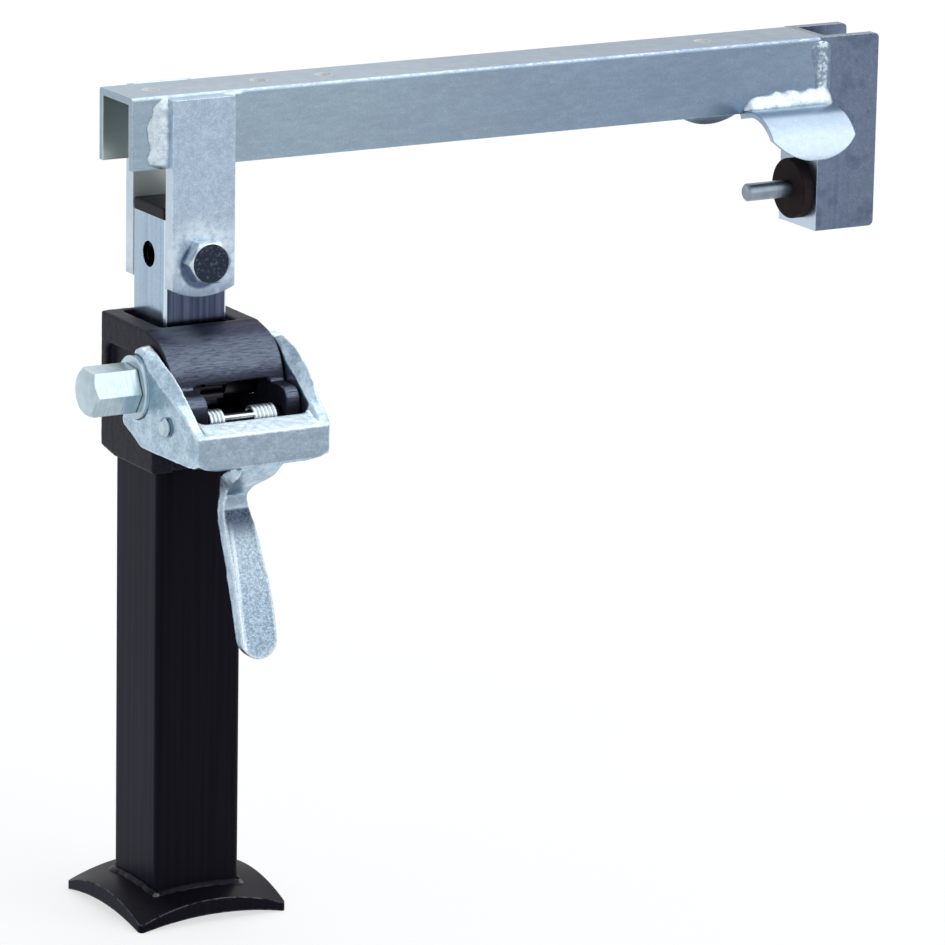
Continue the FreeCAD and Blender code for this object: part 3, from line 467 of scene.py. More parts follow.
# %% Zinc on the inner tube
def tube_touch(finish, colour):
    """Fronts painted dark as a painted reflection, and corners painted as bright strips."""
    side_on, front_on = finish.facing(0), finish.facing(1)
    streaks = finish.noise(1.6, 3, (1, 1, 50))
    # Painted reflection: the front and back faces are painted dark blue.
    dark_reflection = finish.mix(streaks.rise(0.40, 0.70), (0.042, 0.052, 0.092), (0.085, 0.105, 0.165))
    colour = finish.mix((front_on * front_on).rise(0.7, 0.9), colour, dark_reflection)
    lines = finish.noise(3.2, 2, (1, 1, 80))
    colour = finish.dim(lines.rise(0.50, 0.70) * 0.5, colour, (0.62, 0.68, 0.76))
    # Painted highlight: the rounded corners are painted as bright strips.
    corner = (side_on * side_on * front_on * front_on * 4.0).rise(0.25, 0.7)
    colour = finish.mix(corner, colour, (0.62, 0.74, 0.84))
    return colour, 1.0


finishes["zinc_tube"] = zinc("zinc_tube", (0.36, 0.465, 0.58), tube_touch, contrast=0.06, grain=1.6,
                             drawn=(1, 1, 30), roughness=0.20)
print("finishes so far:", list(finishes))

# %% [markdown]
# ## The bolts
# The flanks of the bolt's head and of the nuts are bright zinc, with painted shade on the faces that
# look down or towards +X. The outer end of the pivot bolt's head is a bare dark disc with fine
# scratches. Two materials could split the head along its faces, but one material with a mask keeps a
# clean round border.

# %% Zinc on the bolts
HEAD_START, HEAD_END = 29.0, 31.0


def bolt_zinc():
    """Bright flanks, and a dark bare disc on the outer end of the pivot bolt's head."""
    finish = Finish("zinc_bolt")
    fine = finish.noise(0.6, 3)
    patches = finish.noise(4.0, 3)
    scratches = finish.noise(1.6, 4).rise(0.52, 0.66)
    disc = (-1.0 * finish.facing(1)).rise(0.9, 0.97) * (finish.axis(1) * -1.0).rise(HEAD_START, HEAD_END)
    bright = finish.mix(patches.rise(0.35, 0.65), (0.42, 0.50, 0.57), (0.66, 0.75, 0.80))
    # Painted shade: faces looking down or towards +X are darkened.
    under = finish.facing(0).rise(0.15, 0.6) + (-1.0 * finish.facing(2)).rise(0.3, 0.8)
    bright = finish.dim(under, bright, (0.30, 0.34, 0.42))
    bare = finish.mix(scratches * 0.5 + fine * 0.2, (0.016, 0.022, 0.038), (0.10, 0.13, 0.18))
    colour = finish.mix(disc, bright, bare)
    rough = 0.26 + disc * 0.18 + fine * 0.1
    normal = finish.bump(fine * 0.4 + scratches * 0.6, 0.05, 0.5, finish.rounded(0.5))
    return finish.close(Base_Color=colour, Metallic=1.0, Roughness=rough, Normal=normal)


finishes["zinc_bolt"] = bolt_zinc()
print("finishes so far:", list(finishes))

# %% [markdown]
# ## Turned steel
# The pinion shaft, the collars, the pins and the spring have fine marks round their axis, which lies
# along X on all of them. Noise that is pulled long across the axis gives those marks. Painted shade
# darkens the turned parts and the rack where they lie between the housing's walls.

# %% Turned steel
HOUSING_HALF_WIDTH = 33.5
MARK_PULL = 60


def turned(name, pale, dark, roughness, shade_reach=None):
    """Steel with fine marks round its axis, and painted shade within shade_reach mm of the middle."""
    finish = Finish(name)
    lines = finish.noise(0.5, 2, (1, MARK_PULL, MARK_PULL))
    patches = finish.noise(6.0, 3)
    colour = finish.mix((lines * 0.5 + patches * 0.5).rise(0.35, 0.65), dark, pale)
    if shade_reach:
        along = finish.axis(0)
        # Painted shade: the part inside the housing is painted near black.
        inside_painted_light = 1 - (along * along).rise((shade_reach - 0.5) ** 2, (shade_reach + 0.5) ** 2)
        colour = finish.mix(inside_painted_light, colour, (0.028, 0.026, 0.030))
    rough = roughness + patches * 0.12 - 0.05
    normal = finish.bump(lines, 0.015, 0.4, finish.rounded(0.5))
    return finish.close(Base_Color=colour, Metallic=1.0, Roughness=rough, Normal=normal)


finishes["turned_steel"] = turned("turned_steel", (0.52, 0.64, 0.70), (0.39, 0.49, 0.55), 0.28,
                                  HOUSING_HALF_WIDTH)
finishes["pin_steel"] = turned("pin_steel", (0.31, 0.36, 0.42), (0.20, 0.24, 0.29), 0.36)
finishes["spring_steel"] = turned("spring_steel", (0.74, 0.82, 0.86), (0.58, 0.67, 0.73), 0.36)
print("finishes so far:", list(finishes))

# %% [markdown]
# ## Cast zinc
# The release yoke and its handle are one sand casting with bright zinc over it. The arms are smooth
# with soft pools, and upward faces are painted paler as painted light. The bar's front is rougher, and
# painted darker as painted shade. The handle's sunk panel is pebbled, with a painted shadow under its
# top rim and a painted highlight along its left rim. The high edges are painted bright, partly as wear
# and partly as painted highlight. The zones could be separate materials, but their borders would be
# hard lines. One material with soft masks, chosen by which way the surface faces and how high it lies,
# lets them flow into each other.

# %% The handle's panel
PANEL_EDGE_LOW, PANEL_EDGE_HIGH = -215.5, -213.5
PANEL_MIDDLE = -232.0
HANDLE_END, HANDLE_NECK = -272.0, -212.0
HANDLE_NECK_HALF = 7.1
HANDLE_GRIP_HALF = 10.8
RIM_HIGHLIGHT_FULL, RIM_HIGHLIGHT_GONE = -226.0, -219.0
RIM_SHADOW_START, RIM_SHADOW_FULL = -233.0, -219.0


def panel_colour(finish, height, stones):
    """Pebbles, darker at the low end, with a painted highlight along the left rim."""
    lower = 1 - height.rise(HANDLE_END, PANEL_MIDDLE)
    colour = finish.mix(stones, (0.25, 0.33, 0.42), (0.52, 0.64, 0.73))
    colour = finish.dim(lower * 0.5, colour, (0.66, 0.72, 0.80))
    wider = (1 - height.rise(HANDLE_END, HANDLE_NECK)) * (HANDLE_GRIP_HALF - HANDLE_NECK_HALF)
    from_left = finish.axis(0) + (HANDLE_NECK_HALF + wider)
    # Painted highlight along the panel's left rim.
    rim_highlight = from_left.rise(0.5, 1.4) * (1 - from_left.rise(2.4, 4.0))
    rim_highlight = rim_highlight * (1 - height.rise(RIM_HIGHLIGHT_FULL, RIM_HIGHLIGHT_GONE))
    return finish.mix(rim_highlight * 0.75, colour, (0.74, 0.86, 0.93))


print("the panel lies below z =", PANEL_EDGE_LOW, "mm")

# %% [markdown]
# ## The whole casting
# Several sizes of noise lie over each other: pools where the zinc ran, pebbles from the sand, and grit.
# The pointiness of the mesh finds the high edges, which are painted bright, partly as wear and partly
# as painted highlight. A bump carries the pebbles, because they are too small to be worth faces of their
# own.


# %% Cast zinc
def cast_zinc():
    """Sand-cast surface under bright zinc."""
    finish = Finish("cast_zinc")
    pools = finish.noise(8.0, 3)
    wide = finish.noise(4.0, 2)
    pebbles = finish.noise(1.5, 3)
    fine_pebbles = finish.noise(0.85, 3)
    grit = finish.noise(0.55, 2)
    height = finish.axis(2)
    forward = -1.0 * finish.facing(1)
    upward = finish.facing(2)
    panel = (1 - height.rise(PANEL_EDGE_LOW, PANEL_EDGE_HIGH)) * forward.rise(0.62, 0.82)
    front = forward.rise(0.86, 0.97) * (1 - panel)
    blend = (pools * 0.44 + pebbles * 0.34 + grit * 0.22).rise(0.39, 0.61)
    colour = finish.mix(blend, (0.30, 0.42, 0.53), (0.52, 0.66, 0.77))
    # Painted light: upward faces are painted paler.
    colour = finish.mix(upward.rise(0.75, 0.95) * 0.8, colour, (0.72, 0.81, 0.85))
    patches = (pools * 0.5 + pebbles * 0.5).rise(0.36, 0.66)
    # Painted shade: faces looking forward are painted darker, over their real rougher texture.
    colour = finish.mix(front, colour, finish.mix(patches, (0.26, 0.33, 0.41), (0.35, 0.43, 0.52)))
    stones = (fine_pebbles * 0.5 + pebbles * 0.5).rise(0.36, 0.64)
    colour = finish.mix(panel, colour, panel_colour(finish, height, stones))
    # Painted shadow under the panel's top rim.
    rim_shadow = panel * height.rise(RIM_SHADOW_START, RIM_SHADOW_FULL) * (0.65 + stones * 0.35)
    colour = finish.dim(rim_shadow, colour, (0.05, 0.07, 0.12))
    # High edges painted bright: partly wear, partly painted highlight.
    ridge_wear_and_highlight = Signal(finish, finish.add("NewGeometry").outputs["Pointiness"]).rise(0.508, 0.550)
    colour = finish.mix(ridge_wear_and_highlight * 0.75, colour, (0.80, 0.90, 0.95))
    rough = 0.34 + front * 0.06 + panel * 0.06 - blend * 0.06
    lumps = grit * 0.12 + pebbles.rise(0.3, 0.7) * (0.06 + front * 0.25)
    lumps = lumps + fine_pebbles.rise(0.3, 0.7) * panel * 0.7 + wide * front * 1.2
    normal = finish.bump(lumps, 0.40, 0.8)
    return finish.close(Base_Color=colour, Metallic=1.0, Roughness=rough, Normal=normal)


finishes["cast_zinc"] = cast_zinc()
print("finishes so far:", list(finishes))

# %% [markdown]
# ## Black paint
# The outer tube and the foot plate carry satin black paint, with its side faces painted lighter and
# bluer as painted light, faint streaks down the tube and thin pale lines on the foot's low edges. A low
# specular level keeps the paint near black beside so much bright zinc. The same paint serves the weld
# round the foot, a little shinier, and its corners, which shine like wet paint because it pooled there.

# %% Black paint
EDGE_LINES_BOTTOM, EDGE_LINES_TOP = -436.0, -430.0
PAINT_TINT = (0.80, 0.82, 1.0, 1)


def black_paint(name, specular, sheen):
    """Satin black paint with streaks down the tube. The sheen is the roughness of its shiniest spots."""
    finish = Finish(name)
    streaks = finish.noise(2.6, 3, (1, 1, 60))
    dust = finish.noise(0.8, 2).rise(0.6, 0.8)
    colour = finish.mix(streaks.rise(0.35, 0.65), (0.0042, 0.0034, 0.0062), (0.0066, 0.0056, 0.0100))
    side_on = finish.facing(0)
    # Painted light: the side faces are painted lighter and bluer.
    painted_side_light = finish.mix(streaks.rise(0.38, 0.62), (0.004, 0.004, 0.013), (0.011, 0.011, 0.027))
    colour = finish.mix((side_on * side_on).rise(0.6, 0.9), colour, painted_side_light)
    colour = finish.mix(dust * 0.2, colour, (0.03, 0.03, 0.045))
    edge_lines = finish.noise(5.0, 4).rise(0.38, 0.58)
    low = 1 - finish.axis(2).rise(EDGE_LINES_BOTTOM, EDGE_LINES_TOP)
    colour = finish.mix(finish.edges(1.3) * edge_lines * low * 0.8, colour, (0.34, 0.34, 0.38))
    rough = sheen + streaks * 0.08
    normal = finish.bump(streaks * 0.5 + dust * 0.3, 0.02, 0.4, finish.rounded(0.8))
    return finish.close(Base_Color=colour, Roughness=rough, Specular_IOR_Level=specular,
                        Specular_Tint=PAINT_TINT, Normal=normal)


finishes["black_paint"] = black_paint("black_paint", specular=0.06, sheen=0.36)
weld_black = black_paint("weld_black", specular=0.09, sheen=0.34)
weld_gloss = black_paint("weld_gloss", specular=1.0, sheen=0.05)
print("finishes so far:", list(finishes))

# %% [markdown]
# ## Black casting
# The gear housing is a rough black casting. Its hood was ground, so the black there is thin, and fine
# scratches across it show the iron. Where the hood faces front and up, the iron is painted lighter as a
# painted highlight. A painted highlight of bare metal lies on the hood's crest at the left, in front of
# the inner tube. The bare iron is metal and the paint is not, so the same mask drives the colour and
# the metal.

# %% Black casting
GROUND_START, GROUND_FULL = -163.0, -156.0
GROUND_FRONT, GROUND_BACK = -30.0, -26.0
CREST_HIGHLIGHT_PLACE = (-17.0, -31.0, -126.0)
CREST_HIGHLIGHT_START, CREST_HIGHLIGHT_END = 3.0, 15.0
CASTING_TINT = (0.82, 0.84, 1.0, 1)


def black_casting():
    """Rough black casting, ground to bare scratches across the hood."""
    finish = Finish("black_casting")
    scratches = finish.noise(0.62, 5, (12, 1, 1), 0.74)
    grit = finish.noise(1.1, 4)
    along, across, height = (finish.axis(index) for index in range(3))
    forward, upward = -1.0 * finish.facing(1), finish.facing(2)
    hood = height.rise(GROUND_START, GROUND_FULL) * forward.rise(0.08, 0.30)
    hood = hood * (1 - across.rise(GROUND_FRONT, GROUND_BACK))
    # Painted highlight: faces between front and up are given the bright colour.
    lit = forward.rise(0.20, 0.62) * upward.rise(0.22, 0.50)
    bare = hood * scratches.rise(0.26, 0.50)
    colour = finish.mix(grit.rise(0.4, 0.7), (0.008, 0.008, 0.014), (0.020, 0.020, 0.034))
    shine = lit * (0.55 + scratches.rise(0.34, 0.62) * 0.45)
    colour = finish.mix(bare, colour, finish.mix(shine, (0.044, 0.049, 0.076), (0.160, 0.195, 0.262)))
    # Painted highlight on the hood's crest at the left, with more bare metal.
    apart = (along - CREST_HIGHLIGHT_PLACE[0]) ** 2 + (across - CREST_HIGHLIGHT_PLACE[1]) ** 2 + (height - CREST_HIGHLIGHT_PLACE[2]) ** 2
    wear_and_highlight = 1 - (apart ** 0.5).rise(CREST_HIGHLIGHT_START, CREST_HIGHLIGHT_END)
    colour = finish.mix(wear_and_highlight * 0.55, colour, (0.30, 0.36, 0.42))
    bare = bare + wear_and_highlight * 0.4
    rough = 0.42 + grit * 0.12 - hood * 0.08
    relief = scratches.rise(0.3, 0.7) * hood * 0.8 + grit * (0.5 - hood * 0.35)
    normal = finish.bump(relief, 0.28, 0.7, finish.rounded(0.8))
    return finish.close(Base_Color=colour, Metallic=bare, Roughness=rough, Specular_IOR_Level=0.14,
                        Specular_Tint=CASTING_TINT, Normal=normal)


finishes["black_casting"] = black_casting()
print("finishes so far:", list(finishes))

# %% [markdown]
# ## Rubber, plastic and nylon
# The rubber buffer is matte and brown-black, the inner tube's cap is moulded black plastic, and the
# guides are natural nylon. All three are moulded, so they share a fine even grain with soft patches,
# and only the tones, the roughness and the shine differ.


# %% Rubber, plastic and nylon
def moulded(name, pale, dark, roughness, grain, specular):
    """Rubber or plastic, with a fine even grain."""
    finish = Finish(name)
    fine = finish.noise(grain, 3)
    patches = finish.noise(8.0, 3)
    colour = finish.mix((fine * 0.4 + patches * 0.6).rise(0.35, 0.65), dark, pale)
    rough = roughness + patches * 0.12 - 0.06
    normal = finish.bump(fine, 0.05, 0.5, finish.rounded(0.6))
    return finish.close(Base_Color=colour, Roughness=rough, Specular_IOR_Level=specular, Normal=normal)


finishes["rubber"] = moulded("rubber", (0.024, 0.015, 0.017), (0.011, 0.007, 0.008),
                             roughness=0.72, grain=0.5, specular=0.15)
finishes["black_plastic"] = moulded("black_plastic", (0.014, 0.012, 0.020), (0.007, 0.006, 0.011),
                                    roughness=0.40, grain=0.7, specular=0.10)
finishes["guide_nylon"] = moulded("guide_nylon", (0.70, 0.68, 0.62), (0.38, 0.36, 0.31),
                                  roughness=0.5, grain=0.7, specular=0.5)
print("finishes so far:", list(finishes))

# %% [markdown]
# ## Finishes onto the CAD parts
# The record gives each part a material slot. A part whose shape is right stays as it is and takes its
# own plate finish where it has one, or else the finish of its slot.

# %% Give the finishes to the parts
slot_of = {part["node"]: part["material_slot"] for part in frame["record"]["subparts"]}
for name, part in nodes.items():
    if not part.material_slots:
        part.data.materials.append(None)
    for slot in part.material_slots:
        slot.material = plate_finishes.get(name) or finishes[slot_of[name]]
print("parts with a finish:", len(slot_of))

# %% [markdown]
# ## Cast skins
# A casting has no sharp edges, because sand can't hold them, and its faces are never quite flat. A
# bevel on each edge would leave corners pinched and faces flat. A voxel remesh of the CAD solid followed
# by smoothing rounds every edge by about a millimetre and keeps the form. Then noise lowers the skin
# by up to a fifth of a millimetre. It never raises it, so the skin stays inside the solid. The tips of
# the yoke's arms are rounded more. The new skin replaces the CAD solid in the picture.

# %% Cast skins
VOXEL = 0.8
SMOOTH_FACTOR = 0.5
SAND_DEPTH = 0.16
SAND_SIZE = 3.2
FINER_SIZE, FINER_SHARE = 0.4, 0.5
SAND_MEAN, SAND_SWING = 0.5, 0.6
TIP_HEIGHT = -139.0
TIP_ROUNDS = 16


def smoothed(piece, rounds, group=""):
    """Smooths the piece's mesh for some rounds, within a vertex group if one is named."""
    soften = piece.modifiers.new("soften", "SMOOTH")
    soften.factor = SMOOTH_FACTOR
    soften.iterations = rounds
    soften.vertex_group = group
    shaped = bpy.data.meshes.new_from_object(piece.evaluated_get(bpy.context.evaluated_depsgraph_get()))
    piece.modifiers.clear()
    piece.data = shaped


def cast_skin(node, piece_name, rounds, body, tip_rounds=0):
    """A rounded copy of a CAD solid, uneven as sand leaves it, with its tips rounded more."""
    piece = bpy.data.objects.new(piece_name, nodes[node].data.copy())
    bpy.context.scene.collection.objects.link(piece)
    skin = piece.modifiers.new("skin", "REMESH")
    skin.mode = "VOXEL"
    skin.voxel_size = VOXEL * MM
    smoothed(piece, rounds)
    if tip_rounds:
        high = [corner.index for corner in piece.data.vertices if corner.co.z > TIP_HEIGHT * MM]
        tips = piece.vertex_groups.new(name="tips")
        tips.add(high, 1.0, "REPLACE")
        smoothed(piece, tip_rounds, "tips")
        piece.vertex_groups.clear()
    normals = [corner.normal.copy() for corner in piece.data.vertices]
    for corner, normal in zip(piece.data.vertices, normals):
        coarse = noise.noise(corner.co / (SAND_SIZE * MM))
        finer = noise.noise(corner.co / (SAND_SIZE * FINER_SIZE * MM))
        sand = SAND_MEAN + SAND_SWING * (coarse + FINER_SHARE * finer)
        corner.co -= normal * SAND_DEPTH * MM * max(0.0, sand)
    piece.data.materials.clear()
    piece.data.materials.append(finishes[slot_of[node]])
    piece.data.polygons.foreach_set("use_smooth", [True] * len(piece.data.polygons))
    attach(piece, body)
    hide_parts(node)
    print(piece_name, "faces:", len(piece.data.polygons))


cast_skin("release_yoke", "yoke_casting", rounds=8, body="release_lever", tip_rounds=TIP_ROUNDS)
cast_skin("gear_housing", "housing_casting", rounds=6, body="outer_leg")

# %% [markdown]
# ## Weld beads
# The lugs, lips and bracket are welded on by hand, and thick pale beads show it. A row of blobs would
# look like beads on a string, so a bead is one skin: rings swept along a route that lies on the steel.
# Each stop of the route gives the bead's reach to each side and its height, and noise swells the rings
# so that they look like puddles of metal that froze one by one. The underside sinks into the steel,
# so the bead's thin edge never stands clear of it, and no bead stands above the channel's top face.

# %% Rings of a bead
RING_STEP = 0.7
FEWEST_RINGS = 12
RING_TURNS = 26
ROUTE_PASSES = 4
FEATHER = 1.5
SEAT = 0.35
SUNK = 0.6
ROUND_END = 3.0
END_SHARE = 0.05
LUMP = 0.24
PUDDLE, SMALL_PUDDLE = 5.6, 2.6
SMALL_SHARE = 0.40
RIPPLE, RIPPLE_PACE = 0.03, 2.2


def route_rows(route):
    """The route's stops at even steps, smoothed, with how far along each one lies and the full length."""
    stops = np.array(route, float)
    lengths = np.concatenate([[0.0], np.cumsum(np.linalg.norm(np.diff(stops[:, :3], axis=0), axis=1))])
    places = np.linspace(0, lengths[-1], max(FEWEST_RINGS, int(lengths[-1] / RING_STEP)))
    rows = np.array([np.interp(places, lengths, column) for column in stops.T]).T
    for _ in range(ROUTE_PASSES):
        rows[1:-1] = (rows[:-2] + 2 * rows[1:-1] + rows[2:]) / 4
    return rows, places, lengths[-1]


def ring_points(row, travelled, length, outward, side):
    """One ring of the bead: high on the outward side, sunk on the other, uneven all round."""
    middle = Vector(row[:3])
    end_gap = min(travelled, length - travelled)
    taper = math.sqrt(min(1.0, (end_gap + END_SHARE) / ROUND_END))
    ripple = RIPPLE * math.sin(travelled * RIPPLE_PACE)
    points = []
    for turn in range(RING_TURNS):
        angle = 2 * math.pi * turn / RING_TURNS
        reach = row[3] if math.cos(angle) > 0 else row[4]
        lift = row[5] * math.sin(angle) ** FEATHER if math.sin(angle) > 0 else SUNK * math.sin(angle)
        arm = side * (math.cos(angle) * reach * taper) + outward * (lift * taper - SEAT)
        swell = noise.noise((middle + arm) / PUDDLE)
        swell = swell + SMALL_SHARE * noise.noise((middle + arm) / SMALL_PUDDLE)
        points.append((middle + arm * (1 + LUMP * swell + ripple)) * MM)
    return points


print("a ring every", RING_STEP, "mm, with", RING_TURNS, "points")

# %% [markdown]
# ## From rings to a piece
# The rings are skinned, their ends are capped, and a few rounds of smoothing melt the ripples together.
# The bead rides on the body it is welded to.

# %% Bead
SMOOTHINGS = 8
TOP_LIMIT = -0.25


def bead(name, body, outward, side, route, finish=weld_finish):
    """A weld bead. Each stop is x, y, z, reach to the side, reach away from it, and height, in mm."""
    form = bmesh.new()
    rows, places, length = route_rows(route)
    rings = []
    for row, travelled in zip(rows, places):
        points = ring_points(row, travelled, length, Vector(outward), Vector(side))
        rings.append([form.verts.new(point) for point in points])
    for first, second in zip(rings, rings[1:]):
        for turn in range(RING_TURNS):
            after = (turn + 1) % RING_TURNS
            form.faces.new((first[turn], first[after], second[after], second[turn]))
    form.faces.new(rings[0][::-1])
    form.faces.new(rings[-1])
    bmesh.ops.recalc_face_normals(form, faces=form.faces)
    for _ in range(SMOOTHINGS):
        bmesh.ops.smooth_vert(form, verts=form.verts, factor=SMOOTH_FACTOR,
                              use_axis_x=True, use_axis_y=True, use_axis_z=True)
    for corner in form.verts:
        corner.co.z = min(corner.co.z, TOP_LIMIT * MM)
    mesh = bpy.data.meshes.new(name)
    form.to_mesh(mesh)
    form.free()
    mesh.materials.append(finish)
    mesh.polygons.foreach_set("use_smooth", [True] * len(mesh.polygons))
    piece = bpy.data.objects.new(name, mesh)
    bpy.context.scene.collection.objects.link(piece)
    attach(piece, body)


print("beads stop at z =", TOP_LIMIT, "mm")

# %% [markdown]
# ## Welds on the channel
# The same four welds are on the front and the back: a wide fillet up the lug's edge, a short bead over
# the lug's top corner, a ground seam between channel and bracket, and a thick fillet over the lip. The
# rear lug has one more along its top.

# %% Welds on the channel
LEFT, UP = (-1, 0, 0), (0, 0, 1)
LUG_EDGE = -18.2
LIP_TOP = -37.4
REAR_LUG_MIDDLE = 22.8
for face, name in ((-1, "front"), (1, "rear")):
    wall = face * CHANNEL_HALF
    outward = (0, face, 0)
    bead(name + "_lug_weld", "bracket", outward, LEFT,
         [(LUG_EDGE, wall, -0.4, 3.6, 1.5, 3.6), (LUG_EDGE, wall, -5.5, 9.4, 1.5, 4.6),
          (LUG_EDGE, wall, -13.0, 12.0, 1.5, 5.2), (LUG_EDGE, wall, -24.0, 12.4, 1.5, 5.4),
          (LUG_EDGE, wall, -34.0, 11.4, 1.5, 5.0), (LUG_EDGE, wall, -39.6, 9.0, 1.5, 3.4)])
    bead(name + "_lug_corner_weld", "bracket", outward, UP,
         [(13.5, wall, -2.0, 0.8, 1.0, 7.2), (18.5, wall, -2.2, 1.4, 1.4, 7.0),
          (22.0, wall, -2.0, 1.4, 1.6, 2.2), (28.0, wall, -1.6, 1.0, 1.2, 0.8)])
    bead(name + "_bracket_weld", "bracket", outward, LEFT,
         [(390.5, wall, -1.0, 9.5, 7.5, 0.7), (390.5, wall, -10.0, 8.0, 7.5, 0.8),
          (390.5, wall, -20.0, 6.0, 7.5, 0.8), (391.0, wall, -33.0, 5.0, 8.0, 0.9)], seam_finish)
    bead(name + "_lip_weld", "bracket", outward, UP,
         [(339.6, wall, LIP_TOP, 2.4, 1.2, 2.6), (342.5, wall, LIP_TOP, 5.4, 1.2, 4.6),
          (350.0, wall, LIP_TOP, 7.6, 1.2, 5.6), (360.0, wall, LIP_TOP, 8.8, 1.2, 6.0),
          (372.0, wall, LIP_TOP, 10.6, 1.2, 6.4), (378.0, wall, LIP_TOP, 9.0, 1.2, 6.0),
          (391.0, wall, LIP_TOP, 11.4, 1.2, 6.2), (397.0, wall, LIP_TOP, 8.6, 1.2, 4.6),
          (399.0, wall, LIP_TOP, 3.5, 1.0, 2.0)])
bead("rear_lug_top_weld", "bracket", UP, (0, 1, 0),
     [(-17.5, REAR_LUG_MIDDLE, -1.6, 3.6, 3.6, 1.5), (0.0, REAR_LUG_MIDDLE, -1.6, 4.0, 3.8, 1.7),
      (17.5, REAR_LUG_MIDDLE, -1.6, 3.6, 3.6, 1.5)])
print("welds on the channel: 9")

# %% [markdown]
# ## Welds round the foot
# A black bead runs round the tube where it meets the crowned foot plate. The foot's top isn't flat, so
# the height of each stop is found with a ray cast down onto the foot plate. A small glossy bead sits at
# each corner, where the paint pooled.

# %% Welds round the foot
TUBE_HALF = 25.4
STOPS_ON_A_SIDE = 9
PAST_CORNER = 0.5
RAY_START = -400
FLAT_FOOT = -436.0
CORNER_START, CORNER_STOP = TUBE_HALF - 2.5, TUBE_HALF + 2.6
CORNER_OUT = 0.6
SIDE_BEAD = (3.2, 0.8, 2.8)
CORNER_BEAD = (2.6, 1.2, 2.6)


def foot_top(x, y):
    """The height of the foot's top face, in millimetres."""
    found, place, _, _ = nodes["foot_plate"].ray_cast(Vector((x, y, RAY_START)) * MM, Vector((0, 0, -1)))
    return place.z / MM if found else FLAT_FOOT


for across, name in (((0, -1), "front"), ((1, 0), "right"), ((0, 1), "rear"), ((-1, 0), "left")):
    route = []
    for stop in np.linspace(-TUBE_HALF - PAST_CORNER, TUBE_HALF + PAST_CORNER, STOPS_ON_A_SIDE):
        x = across[0] * TUBE_HALF - across[1] * stop
        y = across[1] * TUBE_HALF + across[0] * stop
        route.append((x, y, foot_top(x, y), *SIDE_BEAD))
    bead("foot_weld_" + name, "outer_leg", UP, (*across, 0), route, weld_black)
for number, (x, y) in enumerate(((-1, -1), (1, -1), (1, 1), (-1, 1)), start=1):
    line = y * (TUBE_HALF + CORNER_OUT)
    route = [(x * at, line, foot_top(x * at, y * TUBE_HALF), *CORNER_BEAD)
             for at in (CORNER_START, CORNER_STOP)]
    bead("foot_weld_corner_" + str(number), "outer_leg", UP, (0, y, 0), route, weld_gloss)
print("welds round the foot: 4 sides and 4 corners")

# %% [markdown]
# ## Light
# A product like this is shot in a white tent. The world gives even light from all sides and a white
# background. Camera, mirror and glass rays see the plain white, so the background is white without
# more light on the leg.

# %% World
FILL_COLOUR = (0.90, 0.95, 1.0, 1)
FILL_STRENGTH = 0.45
WHITE = (1, 1, 1, 1)
world = bpy.data.worlds.new("studio")
world.use_nodes = True
bpy.context.scene.world = world
studio = Finish("studio", world.node_tree)


def seen_directly(finish):
    """1 for the rays that come from the camera or by way of metal or glass."""
    rays = finish.add("LightPath")
    mirrored = finish.add("Math", {"operation": "MAXIMUM"}, {0: rays.outputs["Is Glossy Ray"],
                                                             1: rays.outputs["Is Transmission Ray"]})
    either = finish.add("Math", {"operation": "MAXIMUM"}, {0: mirrored.outputs[0],
                                                           1: rays.outputs["Is Camera Ray"]})
    return Signal(finish, either.outputs[0])


fill = studio.add("Background", sockets={"Color": FILL_COLOUR, "Strength": FILL_STRENGTH})
white = studio.add("Background", sockets={"Color": WHITE, "Strength": 1.0})
both = studio.add("MixShader", sockets={0: seen_directly(studio), 1: fill.outputs[0], 2: white.outputs[0]})
studio.add("OutputWorld", sockets={"Surface": both.outputs[0]})
print("world:", world.name)

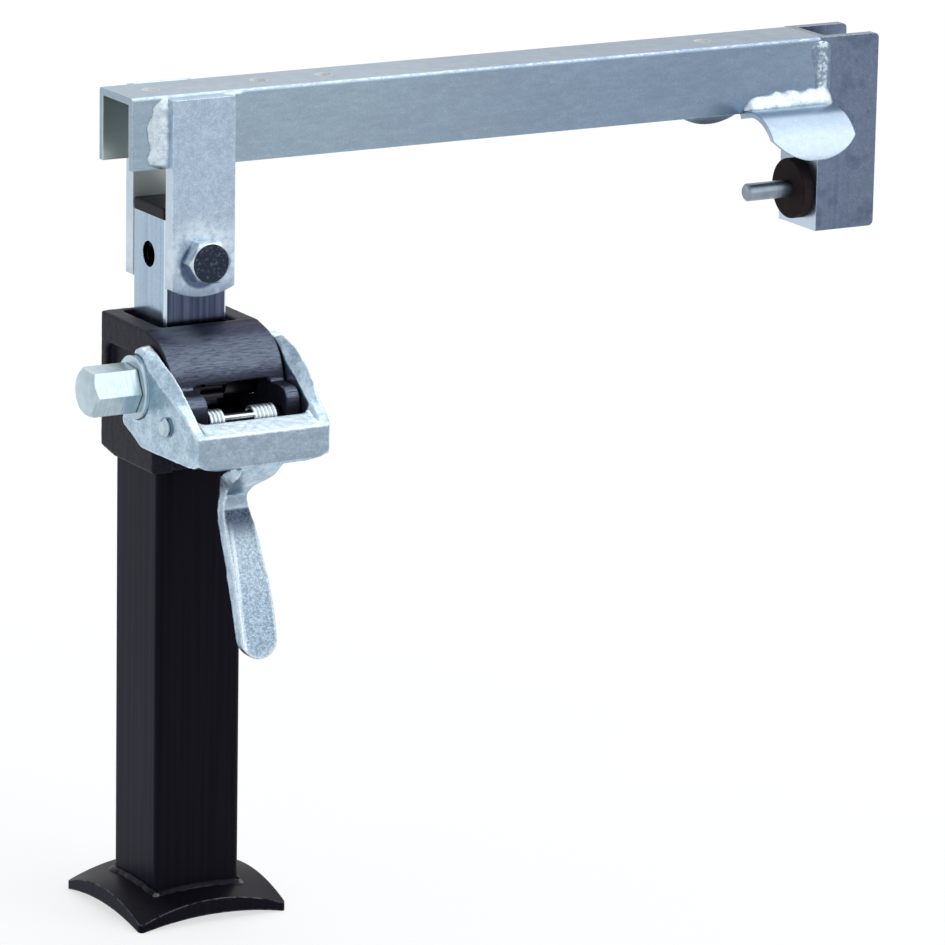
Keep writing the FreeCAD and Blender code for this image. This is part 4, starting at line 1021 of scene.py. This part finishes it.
# %% [markdown]
# ## Suns
# Even light alone leaves the leg flat. A wide sun in front and above lifts the upward faces, and a
# second one, higher and behind, draws the tops. Both are wide, because small hard suns would cut dark
# shadows that a tent doesn't give.


# %% Suns
def sun(name, towards, strength, angle):
    """A wide sun that shines from the direction towards. The angle is its width in degrees."""
    data = bpy.data.lights.new(name, "SUN")
    data.energy = strength
    data.angle = math.radians(angle)
    lamp = bpy.data.objects.new(name, data)
    lamp.rotation_mode = "QUATERNION"
    lamp.rotation_quaternion = Vector(towards).to_track_quat("Z", "Y")
    bpy.context.scene.collection.objects.link(lamp)
    print("sun:", name)


sun("key", towards=(0.486, -0.62, 0.60), strength=1.0, angle=70)
sun("top", towards=(0.30, 0.35, 0.88), strength=0.8, angle=60)

# %% [markdown]
# ## Floor
# The floor is plain and pale. Camera and mirror rays see part of it as an even glow, so it reads as
# white and still takes the leg's soft shadow. A floor that only glowed would lose the shadow, and the
# leg would seem to float.

# %% Floor
FLOOR_SIZE = 12.0
GLOW_SHARE = 0.55
GLOW_STRENGTH = 1.22
FLOOR_COLOUR = (0.90, 0.90, 0.90, 1)
floor_mesh = bpy.data.meshes.new("floor")
sheet = bmesh.new()
bmesh.ops.create_grid(sheet, x_segments=1, y_segments=1, size=FLOOR_SIZE)
sheet.to_mesh(floor_mesh)
sheet.free()
floor = bpy.data.objects.new("floor", floor_mesh)
floor.location = (0, 0, cad_box[0].z)
bpy.context.scene.collection.objects.link(floor)
pale = Finish("floor_white")
matt = pale.add("BsdfDiffuse", sockets={"Color": FLOOR_COLOUR})
glow = pale.add("Emission", sockets={"Color": WHITE, "Strength": GLOW_STRENGTH})
glowing = seen_directly(pale) * GLOW_SHARE
share = pale.add("MixShader", sockets={0: glowing, 1: matt.outputs[0], 2: glow.outputs[0]})
pale.add("OutputMaterial", sockets={"Surface": share.outputs[0]})
floor_mesh.materials.append(pale.material)
print("floor at z =", round(cad_box[0].z, 4))

# %% [markdown]
# ## Close
# The look of the picture is left plain, with no view transform.

# %% Close
bpy.context.scene.view_settings.view_transform = "Standard"
